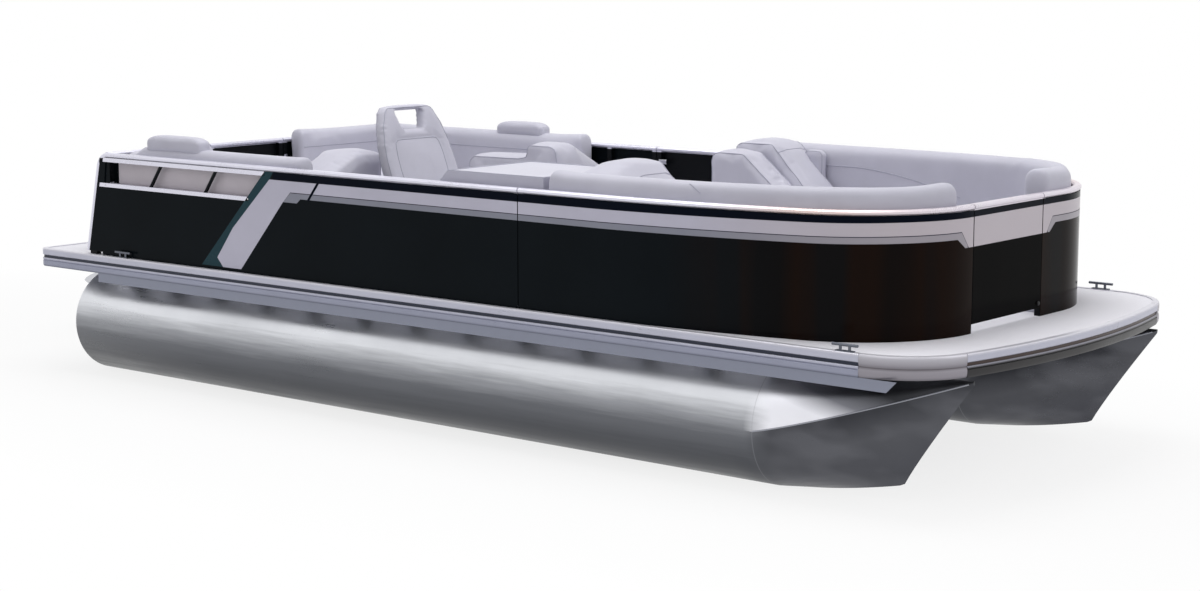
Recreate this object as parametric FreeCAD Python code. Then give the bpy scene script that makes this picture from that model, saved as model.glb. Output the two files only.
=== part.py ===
import FreeCAD, Part
import math
import os

# Twin-tube pontoon boat. Millimetres. While it is modelled, x runs forward from the stern edge
# of the deck, y to port from the centreline, z up from the bottom of the tubes. At the end the
# whole boat is moved along x so that its origin is under the middle of its overall box.

# Hull tubes
TUBE_RADIUS = 317.5
TUBE_INSET = 345.0
TUBE_REAR = 290.0
NOSE_LENGTH = 1020.0
NOSE_SETBACK = 90.0
NOSE_TIP_DROP = 7.0
STEM_LENGTH = 360.0
STEM_FOOT_HEIGHT = 95.0
TUBE_EDGE_ROUND = 25.0
NOSE_TIP_WIDTH = 14.0
NOSE_SHARES = (0.0, 0.33, 0.647, 0.83, 1.0)
NOSE_FULLNESS_SHARES = (0.707, 0.56)
NOSE_FACETS = 7
CHINE_POWER = 1.15
KEEL_POWER = 1.6
STEM_POWER = 0.92

# Deck frame
RISER_HEIGHT = 25.0
RISER_WIDTH = 180.0
RISER_WALL = 6.0
RISER_REAR = 330.0
RISER_SETBACK = 560.0
CHANNEL_HEIGHT = 82.0
CHANNEL_WIDTH = 38.0
CHANNEL_WALL = 4.0
CHANNEL_PITCH = 406.0
CHANNEL_FIRST = 130.0
CHANNEL_SETBACK = 530.0

# Deck
DECK_LENGTH = 6560.0
BEAM = 2590.0
DECK_THICKNESS = 20.0
BOW_SWEEP_RADIUS = 4500.0
BOW_CORNER_RADIUS = 400.0
STERN_CORNER_RADIUS = 60.0
RAIL_WALL = 8.0
RAIL_LIP = 34.0
RAIL_LIP_THICKNESS = 4.0
RAIL_DROP = 107.0
GROOVE_LEVEL = 45.0
GROOVE_HEIGHT = 16.0
GROOVE_DEPTH = 7.0
BUMPER_STEP = 4.0
RAIL_JOINT = 1.0
SKIRT_THICKNESS = 3.0
SKIRT_DROP = 162.0
SKIRT_REAR = 570.0
SKIRT_SETBACK = 300.0
SKIRT_CUT = 54.0

# Fence
FENCE_INSET = 45.0
FENCE_SETBACK = 395.0
FENCE_HEIGHT = 608.0
FENCE_LIFT = 20.0
FLANK_RADIUS = 5500.0
FLANK_TURN = math.radians(12.0)
BOW_GATE_RETURN = 14.0
SKIN = 3.0
POST = 32.0
TOP_RAIL_WIDTH = 44.0
TOP_RAIL_HEIGHT = 28.0
TOP_RAIL_PROUD = 5.0
TOP_RAIL_ROUND = 9.0
FOOT_LENGTH = 60.0
FOOT_PITCH = 640.0
FENCE_REAR_FOOT = 421.0
FENCE_REAR_RAKE = 139.0
FENCE_REAR_ROUND = 100.0
FENCE_SEAM_SHARE = 0.6029
SEAM_GAP = 6.0
WINDOW_REAR = 610.0
WINDOW_FRONT_SHARE = 0.2904
WINDOW_DROP = 54.0
WINDOW_HEIGHT = 129.0
WINDOW_SLANT = 127.0
STRUT_SHARES = (0.3166, 0.6934)
STRUT_WIDTH = 16.0
AFT_POST_SHARES = (0.25, 0.62)
MID_RAIL_HEIGHT = 24.0
STERN_FENCE = 575.0

# Gates
BOW_GATE_STARBOARD = -450.0
BOW_GATE_PORT = 232.0
STERN_GATE_STARBOARD = -400.0
STERN_GATE_PORT = 220.0
PORT_GATE_REAR_SHARE = 0.4497
PORT_GATE_WIDTH = 670.0
GATE_GAP = 6.0
GATE_LIFT = 45.0
HINGE_OFFSET = 12.0
HINGE_PIN_RADIUS = 5.0
HINGE_KNUCKLE_RADIUS = 11.0
HINGE_KNUCKLE_LENGTH = 40.0
HINGE_PLAY = 1.0
HINGE_LEAF = 4.0
HINGE_SHARES = (0.2, 0.75)
RUNNING_FIT = 0.05

# Lounges
BASE_HEIGHT = 300.0
BASE_WALL = 10.0
SEAT_THICKNESS = 105.0
SEAT_DEPTH = 520.0
SOFT_GAP = 0.5
LID_GAP = 14.0
SEAT_CORNER_RADIUS = 120.0
BACK_INSET = 42.0
BACK_THICKNESS = 155.0
BOW_BACK_RISE = 328.0
AFT_BACK_RISE = 290.0
BASE_INSET = 45.0
BOW_PORT_REAR_SHARE = 0.5869
BOW_LID_FRONT_SHARE = 0.8095
BOW_STARBOARD_END = -510.0
BOW_PORT_END = 330.0
CHAISE_RISE_STARBOARD = 355.0
CHAISE_RISE_PORT = 350.0
CHAISE_FOOT = 640.0
CHAISE_GAP = 20.0
CHAISE_HEAD = 300.0
AFT_CORNER = 1320.0
AFT_STARBOARD_FRONT_SHARE = 0.3491
AFT_PORT_FRONT_SHARE = 0.4207
AFT_PORT_BACK_SETBACK = 300.0
AFT_STARBOARD_END = -470.0
AFT_PORT_END = 250.0
ARM_DEPTH = 320.0
ARM_RISE_STARBOARD = 323.0
ARM_RISE_PORT = 263.0
ARM_TAIL_STARBOARD = 60.0
ARM_TAIL_PORT = 490.0
ARM_TAIL_RISE = 183.0
HEADREST_LENGTH = 520.0
HEADREST_THICKNESS = 130.0
HEADREST_RISE = 45.0
HEADREST_STARBOARD_REAR = 900.0
HEADREST_PORT_REAR = 1650.0
CUSHION_ROUND = 40.0

# Helm
CONSOLE_REAR_SHARE = 0.4985
CONSOLE_LENGTH = 810.0
CONSOLE_INSET = 55.0
CONSOLE_WIDTH = 675.0
CONSOLE_HEIGHT = 683.0
CONSOLE_GAP = 20.0
DASH_SLOPE = 140.0
DASH_FACE = 200.0
WHEEL_RADIUS = 165.0
WHEEL_RIM = 13.0
WHEEL_SIDES = 8
WHEEL_HUB_RADIUS = 38.0
WHEEL_SHAFT_RADIUS = 22.0
WHEEL_SPOKES = 3
SPOKE_WIDTH = 26.0
SPOKE_THICKNESS = 8.0
WHEEL_DROP = 200.0
WHEEL_TILT = math.radians(35.0)
WHEEL_STANDOFF = 95.0
WHEEL_BOSS_RADIUS = 40.0
WHEEL_BOSS_STANDOFF = 80.0
WHEEL_BOSS_SINK = 4.0
CHAIR_SHARE = 0.4177
CHAIR_INSET = 800.0
CHAIR_SEAT_HEIGHT = 428.0
CHAIR_SEAT_THICKNESS = 110.0
CHAIR_WIDTH = 500.0
CHAIR_DEPTH = 450.0
CHAIR_BACK_HEIGHT = 522.0
CHAIR_BACK_WIDTH = 600.0
CHAIR_BACK_THICKNESS = 85.0
CHAIR_BACK_LEAN = 195.0
CHAIR_BACK_SHARES = ((1.0, 0.0), (1.0, 0.32), (0.93, 0.56), (0.76, 0.95), (0.68, 1.0))
CHAIR_GRIP_SHARES = ((0.22, 0.74), (0.33, 0.955))
PEDESTAL_RADIUS = 36.0
PEDESTAL_FLANGE_RADIUS = 120.0
PEDESTAL_FLANGE_THICKNESS = 8.0

# Motor
POD_WIDTH = 660.0
POD_FRONT = 1150.0
POD_BREAK = 690.0
POD_BOTTOM = 190.0
POD_STEP = 15.0
TRANSOM_FACE = -40.0
TRANSOM_THICKNESS = 45.0
TRANSOM_WIDTH = 420.0
TRANSOM_DROP = 62.0
TILT_PIN_SETBACK = 80.0
TILT_PIN_RISE = 35.0
TILT_PIN_RADIUS = 12.0
CLAMP_SPREAD = 260.0
CLAMP_WALL = 22.0
CLAMP_LENGTH = 330.0
CLAMP_EYE = 40.0
CLAMP_WEB = 12.0
REST_TILT = 38.0
STEER_SETBACK = 70.0
STEER_PIN_RADIUS = 18.0
SWIVEL_RADIUS = 34.0
SWIVEL_REACH = 270.0
SWIVEL_RISE = 30.0
MOTOR_GAP = 6.0
HEAD_LENGTH = 315.0
HEAD_HEIGHT = 60.0
HEAD_WIDTH = 120.0
YOKE_WIDTH = 76.0
LEG_LENGTH = 560.0
LEG_CHORD = 180.0
LEG_WIDTH = 90.0
PLATE_LENGTH = 340.0
PLATE_WIDTH = 170.0
PLATE_THICKNESS = 8.0
SKEG_THICKNESS = 24.0
SKEG_DROP = 130.0
SHAFT_DROP = 195.0
GEARCASE_RADIUS = 50.0
GEARCASE_LENGTH = 250.0
GEARCASE_NOSE = 90.0
PROP_RADIUS = 172.0
PROP_HUB_RADIUS = 46.0
PROP_HUB_LENGTH = 120.0
PROP_SHAFT_RADIUS = 14.0
PROP_BLADE_CHORD = 100.0
PROP_BLADE_THICKNESS = 10.0
PROP_PITCH_TURN = 28.0
PROP_BLADE_SHARES = ((-0.25, 0.0), (0.25, 0.0), (0.5, 0.67), (0.42, 0.88), (0.25, 1.0), (-0.25, 1.0),
                     (-0.42, 0.88), (-0.5, 0.67))
PROP_BLADES = 3
COWL_LENGTH = 400.0
COWL_WIDTH = 320.0
COWL_HEIGHT = 370.0
COWL_EDGE = 40.0
COWL_SHARES = ((0.13, 0.0), (0.0, 0.2), (0.0, 0.62), (0.14, 0.94), (0.3, 1.0), (0.86, 0.93), (1.0, 0.72),
               (1.0, 0.28), (0.82, 0.0))

# Ladder
LADDER_INSET = 495.0
LADDER_WIDTH = 340.0
LADDER_LENGTH = 300.0
LADDER_TUBE = 12.0
LADDER_PIN_X = -60.0
LADDER_PIN_RADIUS = 5.0
LADDER_RISE = 34.0
LADDER_FOLD_STEP = 34.0
LADDER_NARROWING = 30.0
LADDER_LUG = 10.0
LADDER_TREAD = 50.0
LADDER_TREAD_THICKNESS = 18.0
LADDER_TREAD_SHARES = (0.35, 0.8)
LADDER_EAR = 8.0
LADDER_FOOT = 120.0

# Cleats
CLEAT_LENGTH = 140.0
CLEAT_HEIGHT = 38.0
CLEAT_HORN = 7.0
CLEAT_WIDTH = 26.0
CLEAT_BASE = 5.0
CLEAT_POST_SHARE = 0.18
CLEAT_BASE_SHARE = 0.35
BOW_CLEAT_SETBACK = 85.0
STERN_CLEAT_X = 800.0
CLEAT_EDGE = 18.0

OVERRUN = 10.0

half_beam = BEAM / 2
tube_offset = half_beam - TUBE_INSET
tube_top = 2 * TUBE_RADIUS
nose_tip = DECK_LENGTH - NOSE_SETBACK
nose_start = nose_tip - NOSE_LENGTH
stem_foot = nose_tip - STEM_LENGTH
nose_tip_height = tube_top - NOSE_TIP_DROP
riser_front = DECK_LENGTH - RISER_SETBACK
channel_last = DECK_LENGTH - CHANNEL_SETBACK
skirt_front = DECK_LENGTH - SKIRT_SETBACK
channel_bottom = tube_top + RISER_HEIGHT
deck_bottom = channel_bottom + CHANNEL_HEIGHT
deck_top = deck_bottom + DECK_THICKNESS
fence_bottom = deck_top + FENCE_LIFT
fence_top = fence_bottom + FENCE_HEIGHT
rail_bottom = fence_top - TOP_RAIL_HEIGHT
fence_half_width = half_beam - FENCE_INSET
fence_front = DECK_LENGTH - FENCE_SETBACK
fence_seam = DECK_LENGTH * FENCE_SEAM_SHARE
window_head = fence_top - WINDOW_DROP
window_sill = window_head - WINDOW_HEIGHT
window_front = DECK_LENGTH * WINDOW_FRONT_SHARE
strut_places = [WINDOW_REAR + (window_front - WINDOW_REAR) * share for share in STRUT_SHARES]
port_gate_rear = DECK_LENGTH * PORT_GATE_REAR_SHARE
port_gate_front = port_gate_rear + PORT_GATE_WIDTH
seat_bottom = deck_top + BASE_HEIGHT
seat_top = seat_bottom + SEAT_THICKNESS
bow_back_top = seat_top + BOW_BACK_RISE
aft_back_top = seat_top + AFT_BACK_RISE
flank_rise = FLANK_RADIUS * (1 - math.cos(FLANK_TURN))
bow_reach = fence_half_width + BOW_GATE_STARBOARD - GATE_GAP - BOW_GATE_RETURN
bow_radius = (bow_reach - flank_rise) / math.cos(FLANK_TURN)
flank_start = fence_front - bow_radius - (FLANK_RADIUS - bow_radius) * math.sin(FLANK_TURN)
flank_centre = (flank_start, -(fence_half_width - FLANK_RADIUS))
bow_centre = (fence_front - bow_radius, flank_centre[1] - (FLANK_RADIUS - bow_radius) * math.cos(FLANK_TURN))
console_rear = DECK_LENGTH * CONSOLE_REAR_SHARE
console_front = console_rear + CONSOLE_LENGTH
console_outer = -(fence_half_width - CONSOLE_INSET)
console_inner = console_outer + CONSOLE_WIDTH
console_top = deck_top + CONSOLE_HEIGHT
wheel_height = console_top - WHEEL_DROP
bow_starboard_rear = console_front + CONSOLE_GAP
bow_port_rear = DECK_LENGTH * BOW_PORT_REAR_SHARE
bow_lid_front = DECK_LENGTH * BOW_LID_FRONT_SHARE
aft_starboard_front = DECK_LENGTH * AFT_STARBOARD_FRONT_SHARE
aft_port_front = DECK_LENGTH * AFT_PORT_FRONT_SHARE
chair_x = DECK_LENGTH * CHAIR_SHARE
chair_y = CHAIR_INSET - fence_half_width
chair_seat_top = deck_top + CHAIR_SEAT_HEIGHT
transom_top = deck_top - TRANSOM_DROP
tilt_pin_x = TRANSOM_FACE - TRANSOM_THICKNESS - TILT_PIN_SETBACK
tilt_pin_z = transom_top + TILT_PIN_RISE
steer_x = tilt_pin_x - STEER_SETBACK
ladder_y = half_beam - LADDER_INSET
nodes = {}


def vec(x, y, z):
    return FreeCAD.Vector(x, y, z)


def box(x0, x1, y0, y1, z0, z1):
    return Part.makeBox(x1 - x0, y1 - y0, z1 - z0, vec(x0, y0, z0))


def polygon_face(points):
    return Part.Face(Part.makePolygon(points + [points[0]]))


def side_prism(outline, y0, y1):
    """Closed outline of (x, z) points, extruded across the boat."""
    return polygon_face([vec(x, y0, z) for x, z in outline]).extrude(vec(0, y1 - y0, 0))


def plan_prism(outline, z0, z1):
    """Closed outline of (x, y) points, extruded upward."""
    return polygon_face([vec(x, y, z0) for x, y in outline]).extrude(vec(0, 0, z1 - z0))


def arc_edge(centre, radius, start, end, z):
    """Arc in plan; angle 0 points to the side, a quarter turn points forward."""
    points = []
    for share in (0.0, 0.5, 1.0):
        angle = start + (end - start) * share
        points.append(vec(centre[0] + radius * math.sin(angle), centre[1] - radius * math.cos(angle), z))
    return Part.Arc(points[0], points[1], points[2]).toShape()


def between(shape, x0, x1):
    """The part of a shape from x0 to x1."""
    bounds = shape.BoundBox
    return shape.common(box(x0, x1, bounds.YMin - OVERRUN, bounds.YMax + OVERRUN, bounds.ZMin - OVERRUN,
                            bounds.ZMax + OVERRUN))


def mirror_port(shape):
    return shape.mirror(vec(0, 0, 0), vec(0, 1, 0))


def fence_path(inset, x_start, y_end, z):
    """Starboard fence line, from x_start forward, round the corner and across to y_end."""
    side = -(fence_half_width - inset)
    front = fence_front - inset
    return [Part.makeLine(vec(x_start, side, z), vec(flank_start, side, z)),
            arc_edge(flank_centre, FLANK_RADIUS - inset, 0, FLANK_TURN, z),
            arc_edge(bow_centre, bow_radius - inset, FLANK_TURN, math.pi / 2, z),
            Part.makeLine(vec(front, bow_centre[1], z), vec(front, y_end, z))]


def beyond(y_end, z0, z1):
    """What a starboard piece loses on the port side of y_end."""
    return box(-OVERRUN, DECK_LENGTH, y_end, OVERRUN, z0 - OVERRUN, z1 + OVERRUN)


def bow_block(outer, depth, x_start, y_end, z0, z1):
    """Block between the fence line and a walkway that is depth inside it, ending at y_end."""
    front = fence_front - outer
    side = -(fence_half_width - outer)
    aft = min(x_start, flank_start - OVERRUN)
    close = [Part.makeLine(vec(front, 0, z0), vec(aft, 0, z0)),
             Part.makeLine(vec(aft, 0, z0), vec(aft, side, z0))]
    wire = Part.Wire(Part.__sortEdges__(fence_path(outer, aft, 0, z0) + close))
    block = between(Part.Face(wire).extrude(vec(0, 0, z1 - z0)), x_start, front)
    walkway = box(aft - OVERRUN, fence_front - depth, -(fence_half_width - depth), OVERRUN,
                  z0 - OVERRUN, z1 + OVERRUN)
    corner = [edge for edge in walkway.Edges if edge.BoundBox.XMin > fence_front - depth - OVERRUN / 2
              and edge.BoundBox.YMax < depth - fence_half_width + OVERRUN / 2]
    walkway = walkway.makeFillet(SEAT_CORNER_RADIUS, corner)
    return block.cut(walkway).cut(beyond(y_end, z0, z1))


def bow_strip(inner, outer, x_start, y_end, z0, z1):
    """Wall between two insets of the bow fence line."""
    aft = min(x_start, flank_start - OVERRUN)
    outside = fence_path(outer, aft, 0, z0)
    inside = fence_path(inner, aft, 0, z0)
    ends = [Part.makeLine(vec(fence_front - outer, 0, z0), vec(fence_front - inner, 0, z0)),
            Part.makeLine(vec(aft, -(fence_half_width - inner), z0),
                          vec(aft, -(fence_half_width - outer), z0))]
    wire = Part.Wire(Part.__sortEdges__(outside + inside + ends))
    wall = Part.Face(wire).extrude(vec(0, 0, z1 - z0)).cut(beyond(y_end, z0, z1))
    return between(wall, x_start, fence_front)


def rail_face(place):
    """Section of the top rail, with bevelled edges; place maps (inset, z) to a point."""
    u0 = -TOP_RAIL_PROUD
    u1 = TOP_RAIL_WIDTH - TOP_RAIL_PROUD
    edge = TOP_RAIL_ROUND
    low = rail_bottom
    high = fence_top
    outline = [(u0 + edge, low), (u1 - edge, low), (u1, low + edge), (u1, high - edge),
               (u1 - edge, high), (u0 + edge, high), (u0, high - edge), (u0, low + edge)]
    return polygon_face([place(u, z) for u, z in outline])


def top_rail(x_start, y_end):
    """Rail along the top of the bow fence: straight, flank, corner and front."""
    def at_start(u, z):
        return vec(x_start, -(fence_half_width - u), z)

    def at_flank(u, z):
        return vec(flank_start, -(fence_half_width - u), z)

    def at_corner(u, z):
        reach = bow_radius - u
        return vec(bow_centre[0] + reach * math.sin(FLANK_TURN),
                   bow_centre[1] - reach * math.cos(FLANK_TURN), z)

    def at_front(u, z):
        return vec(fence_front - u, bow_centre[1], z)

    up = vec(0, 0, 1)
    turn = math.degrees(FLANK_TURN)
    rail = rail_face(at_start).extrude(vec(flank_start - x_start, 0, 0))
    rail = rail.fuse(rail_face(at_flank).revolve(vec(flank_centre[0], flank_centre[1], 0), up, turn))
    rail = rail.fuse(rail_face(at_corner).revolve(vec(bow_centre[0], bow_centre[1], 0), up, 90 - turn))
    return rail.fuse(rail_face(at_front).extrude(vec(0, y_end - bow_centre[1], 0)))


def rear_bend():
    """Centre (x, z) of the bend of the aft rail, and the angle it turns through."""
    rake = math.atan2(FENCE_REAR_RAKE, FENCE_HEIGHT)
    turn = math.pi / 2 - rake
    corner_x = FENCE_REAR_FOOT + FENCE_REAR_RAKE
    return corner_x + FENCE_REAR_ROUND * math.tan(turn / 2), fence_top - FENCE_REAR_ROUND, turn


def aft_rail(x_end):
    """Top rail of an aft side section: down the raked rear edge, round the bend and forward."""
    x_bend, z_bend, turn = rear_bend()

    def place(u, z):
        return vec(x_bend, -(fence_half_width - u), z)

    top = rail_face(place).extrude(vec(x_end - x_bend, 0, 0))
    bend = rail_face(place).revolve(vec(x_bend, 0, z_bend), vec(0, 1, 0), -math.degrees(turn))
    down = vec(-math.cos(turn), 0, -math.sin(turn))
    low = rail_face(place)
    low.rotate(vec(x_bend, 0, z_bend), vec(0, 1, 0), -math.degrees(turn))
    drop = (z_bend + FENCE_REAR_ROUND * math.cos(turn) - deck_top) / math.sin(turn)
    leg = low.extrude(down * (drop + TOP_RAIL_HEIGHT))
    leg = leg.cut(box(0, x_end, -half_beam, 0, deck_top - FENCE_HEIGHT, fence_bottom))
    return top.fuse(bend).fuse(leg)


def cross_rail(y0, y1, front):
    """Rail across the boat; front is the outer face of the fence below it."""
    def place(u, z):
        return vec(front + u, y0, z)

    return rail_face(place).extrude(vec(0, y1 - y0, 0))


# Hull tubes

def nose_section(x):
    """Closed section of the nose at x: arched top, sharp chines, curved sides to a keel."""
    share = (x - nose_start) / (nose_tip - nose_start)
    half = TUBE_RADIUS * (1 - share) + NOSE_TIP_WIDTH / 2 * share
    chine = TUBE_RADIUS + (nose_tip_height - TUBE_RADIUS) * share ** CHINE_POWER
    crown = tube_top * (1 - share) + (nose_tip_height + NOSE_TIP_WIDTH / 2) * share
    if x < stem_foot:
        along = (x - nose_start) / (stem_foot - nose_start)
        keel = STEM_FOOT_HEIGHT * along ** KEEL_POWER
    else:
        along = (x - stem_foot) / (nose_tip - stem_foot)
        keel = STEM_FOOT_HEIGHT + (nose_tip_height - NOSE_TIP_WIDTH - STEM_FOOT_HEIGHT) * along ** STEM_POWER
    fullness = NOSE_FULLNESS_SHARES[0] * (1 - share) + NOSE_FULLNESS_SHARES[1] * share
    port, foot, starboard = vec(x, half, chine), vec(x, 0, keel), vec(x, -half, chine)
    bulge = chine - (chine - keel) * fullness
    curves = [Part.Arc(starboard, vec(x, 0, crown), port),
              Part.Arc(port, vec(x, half * fullness, bulge), foot),
              Part.Arc(foot, vec(x, -half * fullness, bulge), starboard)]
    points = []
    for curve in curves:
        step = (curve.LastParameter - curve.FirstParameter) / NOSE_FACETS
        points += [curve.value(curve.FirstParameter + step * index) for index in range(NOSE_FACETS)]
    return Part.makePolygon(points + [points[0]])


def hull_tube():
    flat = TUBE_RADIUS - TUBE_EDGE_ROUND
    rim = TUBE_REAR + TUBE_EDGE_ROUND
    body = Part.makeCylinder(TUBE_RADIUS, nose_start - rim, vec(rim, 0, TUBE_RADIUS), vec(1, 0, 0))
    end = Part.makeCone(flat, TUBE_RADIUS, TUBE_EDGE_ROUND, vec(TUBE_REAR, 0, TUBE_RADIUS), vec(1, 0, 0))
    sections = [nose_section(nose_start + (nose_tip - nose_start) * share) for share in NOSE_SHARES]
    nose = Part.makeLoft(sections, True, True)
    return body.fuse(end).fuse(nose).removeSplitter()


def make_tubes():
    tube = hull_tube()
    nodes["tube_starboard"] = tube.translated(vec(0, -tube_offset, 0))
    nodes["tube_port"] = tube.translated(vec(0, tube_offset, 0))


# Deck frame

def make_deck_frame():
    risers = []
    half = RISER_WIDTH / 2
    for side in (-1, 1):
        centre = side * tube_offset
        outer = box(RISER_REAR, riser_front, centre - half, centre + half, TUBE_RADIUS, channel_bottom)
        inner = box(RISER_REAR - OVERRUN, riser_front + OVERRUN, centre - half + RISER_WALL,
                    centre + half - RISER_WALL, TUBE_RADIUS - OVERRUN, channel_bottom - RISER_WALL)
        core = Part.makeCylinder(TUBE_RADIUS, riser_front - RISER_REAR + 2 * OVERRUN,
                                 vec(RISER_REAR - OVERRUN, centre, TUBE_RADIUS), vec(1, 0, 0))
        risers.append(outer.cut(inner).cut(core))
    nodes["tube_risers"] = Part.makeCompound(risers)
    length = half_beam - RAIL_WALL - SKIRT_THICKNESS - 2 * SOFT_GAP
    count = int((channel_last - CHANNEL_FIRST) / CHANNEL_PITCH) + 1
    channels = []
    for index in range(count):
        x = CHANNEL_FIRST + index * CHANNEL_PITCH
        solid = box(x, x + CHANNEL_WIDTH, -length, length, channel_bottom, deck_bottom)
        hollow = box(x + CHANNEL_WALL, x + CHANNEL_WIDTH + OVERRUN, -length - OVERRUN, length + OVERRUN,
                     channel_bottom + CHANNEL_WALL, deck_bottom - CHANNEL_WALL)
        channels.append(solid.cut(hollow))
    nodes["cross_channels"] = Part.makeCompound(channels)


# Deck and its edge

def bow_corner(inset):
    """Centre of the bow corner arc, and the angle where it meets the bow sweep."""
    centre_y = half_beam - BOW_CORNER_RADIUS
    reach = BOW_SWEEP_RADIUS - BOW_CORNER_RADIUS
    centre_x = DECK_LENGTH - BOW_SWEEP_RADIUS + math.sqrt(reach ** 2 - centre_y ** 2)
    meet = math.atan2(centre_x - (DECK_LENGTH - BOW_SWEEP_RADIUS), centre_y)
    return centre_x, -centre_y, BOW_CORNER_RADIUS - inset, meet


def deck_corner_edge(inset, z):
    x, y, radius, meet = bow_corner(inset)
    return arc_edge((x, y), radius, 0, meet, z)


def deck_bow_edge(inset, z):
    x, y, radius, meet = bow_corner(inset)
    sweep = BOW_SWEEP_RADIUS - inset
    centre = DECK_LENGTH - BOW_SWEEP_RADIUS
    start = vec(centre + sweep * math.sin(meet), -sweep * math.cos(meet), z)
    end = vec(start.x, -start.y, z)
    return Part.Arc(start, vec(centre + sweep, 0, z), end).toShape()


def make_deck():
    inset = RAIL_WALL + SOFT_GAP
    z = deck_bottom
    corner = deck_corner_edge(inset, z)
    bow = deck_bow_edge(inset, z)
    x_corner = bow_corner(inset)[0]
    side = half_beam - inset
    radius = STERN_CORNER_RADIUS - inset
    centre = STERN_CORNER_RADIUS
    stern = arc_edge((centre, -(half_beam - centre)), radius, -math.pi / 2, 0, z)
    edges = [corner, mirror_port(corner), bow, stern, mirror_port(stern),
             Part.makeLine(vec(centre, -side, z), vec(x_corner, -side, z)),
             Part.makeLine(vec(centre, side, z), vec(x_corner, side, z)),
             Part.makeLine(vec(inset, -(half_beam - centre), z), vec(inset, half_beam - centre, z))]
    wire = Part.Wire(Part.__sortEdges__(edges))
    nodes["deck_panel"] = Part.Face(wire).extrude(vec(0, 0, DECK_THICKNESS))


def rail_outline(grooved):
    """Section of the deck edge rail as (inset, z) points: a lip over the deck, ribs and a groove."""
    top = deck_top + RAIL_LIP_THICKNESS
    bottom = deck_top - RAIL_DROP
    groove_top = deck_top - GROOVE_LEVEL + GROOVE_HEIGHT / 2
    groove_bottom = deck_top - GROOVE_LEVEL - GROOVE_HEIGHT / 2
    step = BUMPER_STEP
    inner = RAIL_WALL
    outline = [(RAIL_LIP, top), (step, top), (0, top - step)]
    if grooved:
        outline += [(0, groove_top + step), (step, groove_top), (GROOVE_DEPTH, groove_top),
                    (GROOVE_DEPTH, groove_bottom), (step, groove_bottom), (0, groove_bottom - step),
                    (0, groove_bottom - 3 * step), (step, groove_bottom - 4 * step),
                    (0, groove_bottom - 5 * step)]
    outline += [(0, bottom + 2 * step), (step, bottom), (inner, bottom)]
    outline += [(inner, deck_top + SOFT_GAP), (RAIL_LIP, deck_top + SOFT_GAP)]
    return outline


def rail_section(grooved, place):
    return polygon_face([place(u, z) for u, z in rail_outline(grooved)])


def make_deck_rails():
    up = vec(0, 0, 1)
    corner_x, corner_y, radius, meet = bow_corner(0)
    stern_y = -(half_beam - STERN_CORNER_RADIUS)

    def on_side(u, z):
        return vec(STERN_CORNER_RADIUS + RAIL_JOINT, -(half_beam - u), z)

    side = rail_section(True, on_side).extrude(vec(corner_x - STERN_CORNER_RADIUS - 2 * RAIL_JOINT, 0, 0))
    nodes["deck_rails_side"] = Part.makeCompound([side, mirror_port(side)])
    start = meet + RAIL_JOINT / BOW_SWEEP_RADIUS
    sweep_centre = DECK_LENGTH - BOW_SWEEP_RADIUS

    def on_bow(u, z):
        reach = BOW_SWEEP_RADIUS - u
        return vec(sweep_centre + reach * math.sin(start), -reach * math.cos(start), z)

    bow = rail_section(True, on_bow).revolve(vec(sweep_centre, 0, 0), up, 180 - 2 * math.degrees(start))

    def on_stern(u, z):
        return vec(STERN_CORNER_RADIUS, -(half_beam - u), z)

    def across(u, z):
        return vec(u, stern_y, z)

    corner = rail_section(True, on_stern).revolve(vec(STERN_CORNER_RADIUS, stern_y, 0), up, -90)
    stern = rail_section(True, across).extrude(vec(0, -2 * stern_y, 0))
    stern = stern.fuse(corner).fuse(mirror_port(corner)).removeSplitter()
    nodes["deck_rails_end"] = Part.makeCompound([bow, stern])

    def on_corner(u, z):
        return vec(corner_x, -(half_beam - u), z)

    casting = rail_section(False, on_corner).revolve(vec(corner_x, corner_y, 0), up, math.degrees(meet))
    nodes["bow_corner_castings"] = Part.makeCompound([casting, mirror_port(casting)])


def make_skirts():
    low = deck_top - SKIRT_DROP
    high = deck_bottom
    outer = half_beam - RAIL_WALL - SOFT_GAP
    casting = bow_corner(0)[0] - RAIL_JOINT
    under = deck_top - RAIL_DROP - SOFT_GAP
    outline = [(SKIRT_REAR, low), (skirt_front - SKIRT_CUT, low), (skirt_front, low + SKIRT_CUT),
               (skirt_front, under), (casting, under), (casting, high), (SKIRT_REAR, high)]
    sheet = side_prism(outline, -outer, -(outer - SKIRT_THICKNESS))
    nodes["side_skirts"] = Part.makeCompound([sheet, mirror_port(sheet)])


# Fence sections

def feet(x0, x1, y0, y1):
    """Small feet along x under a bottom rail."""
    count = max(2, int((x1 - x0) / FOOT_PITCH) + 1)
    pads = []
    for index in range(count):
        x = x0 + (x1 - x0 - FOOT_LENGTH) * index / (count - 1)
        pads.append(box(x, x + FOOT_LENGTH, y0, y1, deck_top, fence_bottom))
    return pads


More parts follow.
